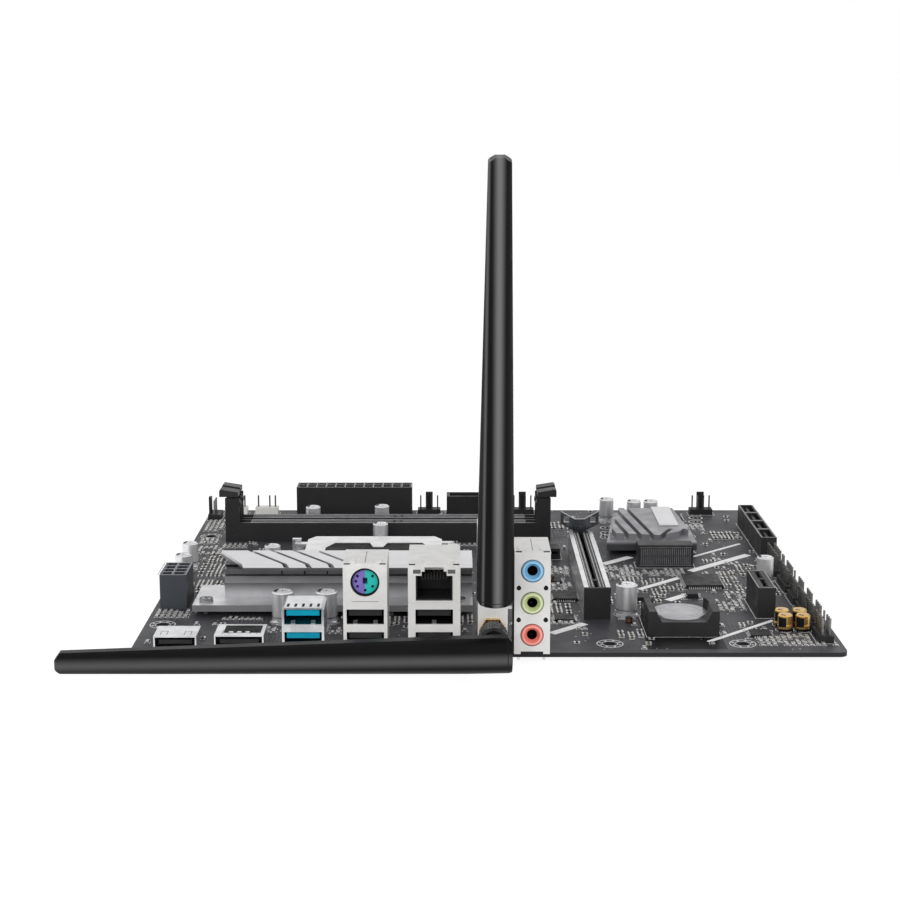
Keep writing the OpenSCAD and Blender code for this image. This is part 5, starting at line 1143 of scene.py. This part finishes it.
def contact_memory_slots(springs, edges):
    for y in MEMORY_ROWS:
        for low, high in MEMORY_RUNS:
            for i in range(int((high - low) / MEMORY_PITCH)):
                for side in BOTH_SIDES:
                    springs.block(low + i * MEMORY_PITCH, y + side * 0.72, 5.2, 0.45, 0.3, 1.9)
            # Pale lines of painted highlight along the slot edges.
            for side in BOTH_SIDES:
                edges.block((low + high) / 2, y + side * 1.15, MEMORY_TOP - SUNK, high - low, EDGE_W, EDGE_H)
        for side in BOTH_SIDES:
            edges.block(82.6, y + side * 3.05, MEMORY_TOP - SUNK, 116.0, EDGE_W, EDGE_H)


def contact_card_slots(springs, edges):
    for x, y, length in CARD_SLOTS:
        for low, high in ((y + 2.6, y + 11.6), (y + 14.6, y + length - 2.6)):
            for i in range(int(high - low)):
                for side in BOTH_SIDES:
                    springs.block(x + side * 0.8, low + i + 0.5, 9.0, 0.3, 0.5, 1.8)
    # Pale lines of painted highlight along the edges of the long slot.
    for side in BOTH_SIDES:
        for reach in (1.3, 2.5):
            edges.block(X16_X + side * reach, 84.0, X16_TOP - SUNK, EDGE_W, 82.0, EDGE_H)


def highlight_socket_edges(edges):
    """Painted highlights as pale lines on the walls of the power sockets, the drive sockets and the short
    slot.
    """
    for x0, y0, _, x1, y1, top in solids_of("power_sockets"):
        columns, rows = (2, 4) if x1 < 40.0 else (12, 2)
        x, y, low = (x0 + x1) / 2, (y0 + y1) / 2, top - SUNK
        step_x, step_y = (x1 - x0 - 2 * RIM_INSET) / columns, (y1 - y0 - 2 * RIM_INSET) / rows
        for i in range(columns + 1):
            edges.block(x0 + RIM_INSET + i * step_x, y, low, RIM_W, y1 - y0 - 0.4, EDGE_H)
        for j in range(rows + 1):
            edges.block(x, y0 + RIM_INSET + j * step_y, low, x1 - x0 - 0.4, RIM_W, EDGE_H)
    for name in ("drive_sockets", "pcie_x1_slot"):
        for x0, y0, _, x1, y1, top in solids_of(name):
            x0, y0, x1, y1 = x0 + RIM_INSET, y0 + RIM_INSET, x1 - RIM_INSET, y1 - RIM_INSET
            edges.border(x0, y0, x1, y1, RIM_W, top - SUNK, 0.04)


def contact_slots():
    """Spring contacts along the grooves of the slots, and painted highlights as pale lines on the edges of
    slots and sockets.
    """
    springs = Heap(pin_plate)
    edges = Heap(edge_highlight_grey)
    contact_memory_slots(springs, edges)
    contact_card_slots(springs, edges)
    highlight_socket_edges(edges)
    springs.made("slot_contacts")
    edges.made("edge_highlight_lines")


# Height of the crimp round the silver cans.
CRIMP_Z = 2.1
SCORE_W = 0.16


def score_cans():
    """Vent scores and dark marks on the can tops, their crimps, and dark bands on the gold cans."""
    scores = Heap(seam_grey)
    marks = Heap(mask_black)
    for x, y, r, top in round_solids("capacitors"):
        for turn in (30.0, 90.0, 150.0):
            a = math.radians(turn)
            run, rise = 0.55 * r * math.cos(a), 0.55 * r * math.sin(a)
            scores.bar(x - run, y - rise, x + run, y + rise, SCORE_W, top - SUNK, INK)
        marks.hoop(x, y, top - SUNK, 0.5 * r, 0.8 * r, INK, 16, 130.0, 80.0)
        scores.hoop(x, y, top - SUNK, 0.83 * r, 0.9 * r, INK, 28)
        scores.hoop(x, y, CRIMP_Z, r - 0.05, r + 0.03, 0.35, 28)
    for x, y, r, top in round_solids("audio_capacitors"):
        marks.hoop(x, y, 1.6, r - 0.05, r + 0.02, top - 2.4, 14, 200.0, 70.0)
        marks.hoop(x, y, top - SUNK, 0.45 * r, 0.75 * r, INK, 14, 200.0, 70.0)
        scores.bar(x - 0.5 * r, y, x + 0.5 * r, y, SCORE_W, top - SUNK, INK)
    scores.made("can_scores")
    marks.made("can_marks")


# The middle of the coin cell and the height of its top.
COIN = (190.4, 31.6, 5.6)


def mark_coin_and_chokes():
    """Turned rings on the coin cell, and the chokes' tabs and the rings on their tops."""
    coin = Heap(seam_grey)
    x, y, top = COIN
    for inner, outer, sides in ((8.5, 8.65, 64), (6.9, 7.0, 56)):
        coin.hoop(x, y, top - SUNK, inner, outer, INK, sides)
    coin.made("coin_rings")
    tabs = Heap(solder)
    tops = Heap(seam_grey)
    for x0, y0, _, x1, y1, top in solids_of("chokes"):
        x, y = (x0 + x1) / 2, (y0 + y1) / 2
        for side in BOTH_SIDES:
            tabs.block(x, y + side * ((y1 - y0) / 2 + 0.28), 0.0, (x1 - x0) * 0.42, 0.5, 1.5, edge=0.12)
        tops.hoop(x, y, top - SUNK, 2.1, 2.3, INK, 32)
    tabs.made("choke_tabs")
    tops.made("choke_rings")


# Slanted grooves of the long heatsink: how many hold painted shade, the start of the first and the step to
# the next, their slant, where the painted shade runs along it, and how far its middle is off that line.
GROOVES = 3
GROOVE_START = (31.7, 73.0)
GROOVE_STEP = 8.3
GROOVE_SLANT = -54.0
GROOVE_RUN = (3.2, 26.6)
GROOVE_MIDDLE = 0.75
# Undercuts along its side, dark with painted shade: where each starts and ends in height.
UNDERCUTS = ((12.35, 13.15), (15.15, 16.25))


def darken_heatsink():
    """Black floors of painted shade in the slanted grooves and the undercuts of the long heatsink."""
    floors = Heap(shade_and_seam_black)
    turn = math.radians(GROOVE_SLANT)
    c, s = math.cos(turn), math.sin(turn)
    for i in range(GROOVES):
        x, y = GROOVE_START[0] + GROOVE_STEP * i, GROOVE_START[1]
        (x0, y0), (x1, y1) = [(x + c * run - s * GROOVE_MIDDLE, y + s * run + c * GROOVE_MIDDLE)
                              for run in GROOVE_RUN]
        floors.bar(x0, y0, x1, y1, 1.46, 16.28, 0.3)
        # Painted shade on the front lip below the end of each groove.
        floors.block(47.3 + GROOVE_STEP * i, 52.985, 13.3, 0.5, 0.05, 1.7)
    for low, high in UNDERCUTS:
        floors.block(71.6, 55.57, low, 90.0, 0.06, high - low)
    floors.made("heatsink_groove_shade")


# The turn of the screws' cross recesses, in radians.
CROSS_TURN = 0.4


def recess_screws():
    """Dark rims and cross recesses of painted shade on the heatsink screws."""
    recesses = Heap(shade_and_seam_black)
    for x, y, r, top in round_solids("heatsink_screws"):
        recesses.hoop(x, y, top - 0.02, 0.74 * r, 0.9 * r, 0.04, 32)
        for turn in (CROSS_TURN, CROSS_TURN + math.pi / 2):
            recesses.block(x, y, top - 0.02, 0.9 * r, 0.24 * r, 0.04, turn)
    recesses.made("screw_recess_shade")


# The front of the card socket by the chipset: its middle, and its columns.
CARD_SOCKET_X = 195.04
CARD_SOCKET_Y = 112.68
SOCKET_COLUMNS = 26
SOCKET_PITCH = 0.78


def bar_card_socket():
    """The contact columns seen through the front of the card socket by the chipset."""
    columns = Heap(seam_grey)
    for i in range(SOCKET_COLUMNS):
        x = CARD_SOCKET_X + (i - (SOCKET_COLUMNS - 1) / 2) * SOCKET_PITCH
        columns.block(x, CARD_SOCKET_Y, 1.2, 0.34, 0.06, 6.6)
    for z in (0.7, 8.1):
        columns.block(CARD_SOCKET_X, CARD_SOCKET_Y, z, 21.0, 0.06, 0.3)
    columns.made("card_socket_columns")


COIL_TURNS = 5
COIL_PITCH = 0.26


def wind_coils():
    """Small wound coils: copper turns between two dark flanges."""
    turns = Heap(copper_strip)
    flanges = Heap(mask_black)
    for x, y in COILS:
        for i in range(COIL_TURNS):
            turns.hoop(x, y, 0.35 + COIL_PITCH * i, 0.6, 1.15, 0.22, 24)
        for z in (0.0, 1.65):
            flanges.post(x, y, z, 0.3, 1.35, 1.3, 24)
    turns.made("coil_turns")
    flanges.made("coil_flanges")


# The processor socket: its middle and the height of its floor, and the field of contacts on it.
SOCKET_MIDDLE = (78.0, 112.0, 2.2)
SOCKET_FIELD = (24, 22)
CONTACT_PITCH = 1.6
WINDOW_HALF = 4.4


def pin_socket():
    """Spring contacts on the floor of the processor socket, round a bare window."""
    contacts = Heap(gold_plate)
    middle_x, middle_y, floor = SOCKET_MIDDLE
    columns, rows = SOCKET_FIELD
    for i in range(columns):
        for j in range(rows):
            off_x = (i - (columns - 1) / 2) * CONTACT_PITCH
            off_y = (j - (rows - 1) / 2) * CONTACT_PITCH
            if abs(off_x) > WINDOW_HALF or abs(off_y) > WINDOW_HALF:
                x, y = middle_x + off_x, middle_y + off_y
                contacts.wire((x, y - 0.3, floor), (x, y + 0.3, floor + 0.4), 0.5, 0.16)
    contacts.made("socket_contacts")


# Solder under the slots: start, step and count of the cones in a row.
MEMORY_TAIL_ROWS = (157.0, 159.5, 166.5, 169.0)
MEMORY_TAILS = (24.8, 1.7, 70)
X16_TAILS = (43.0, 2.0, 42)


def solder_underside():
    """Solder cones under the pins and the slots."""
    cones = Heap(solder)

    def tail(x, y):
        cones.post(x, y, -PCB_T - 0.45, 0.47, 0.25, 0.5, 8)

    for x0, y0, z0, x1, y1, _ in solids_of("connector_pins"):
        if z0 < 0.6:
            cones.post((x0 + x1) / 2, (y0 + y1) / 2, -PCB_T - 0.7, 0.72, 0.4, 0.8, 12)
    start, step, count = MEMORY_TAILS
    for y in MEMORY_TAIL_ROWS:
        for i in range(count):
            tail(start + step * i, y)
    start, step, count = X16_TAILS
    for side in (-1.5, 1.5):
        for i in range(count):
            tail(X16_X + side, start + step * i)
    cones.made("underside_solder")


# Antennas.

# Their hinges: place behind the board's rear edge and heights; and how far each blade leans, in degrees.
HINGE_Y = -29.45
UPPER_HINGE_Z = 31.6
LOWER_HINGE_Z = 8.6
UPPER_LEAN = 13.0
LOWER_LEAN = 3.5


def seam_blades():
    """The seam of the cap at the foot of each blade."""
    lean = (Matrix.Translation((BRACKET_X, HINGE_Y, UPPER_HINGE_Z))
            @ Matrix.Rotation(math.radians(UPPER_LEAN), 4, "X"))
    lie = (Matrix.Translation((BRACKET_X, 0.0, LOWER_HINGE_Z)) @ Matrix.Rotation(math.radians(-90.0), 4, "Y")
           @ Matrix.Translation((0.0, HINGE_Y, 0.0)) @ Matrix.Rotation(math.radians(LOWER_LEAN), 4, "X"))
    for body, turned in (("upper_blade", lean), ("lower_blade", lie)):
        seam = Heap(shade_and_seam_black, turned)
        seam.hoop(0.0, 0.6, -3.9, 6.12, 6.22, 0.22, 36, 200.0, 140.0)
        seam.made(body + "_seam", body)


# The whole scene.

print_board()
fit_surface_parts(standing_boxes())
lead_chips()
line_usb_mouths()
fill_network_jack()
ring_round_port()
line_audio_jacks()
seam_roofs()
slot_bracket()
contact_slots()
score_cans()
mark_coin_and_chokes()
darken_heatsink()
recess_screws()
bar_card_socket()
wind_coils()
pin_socket()
solder_underside()
seam_blades()

set_camera()
set_world()
for name, setting in SOFTBOXES.items():
    set_lamp(name, *setting)
set_floor(cad_box[0][2])
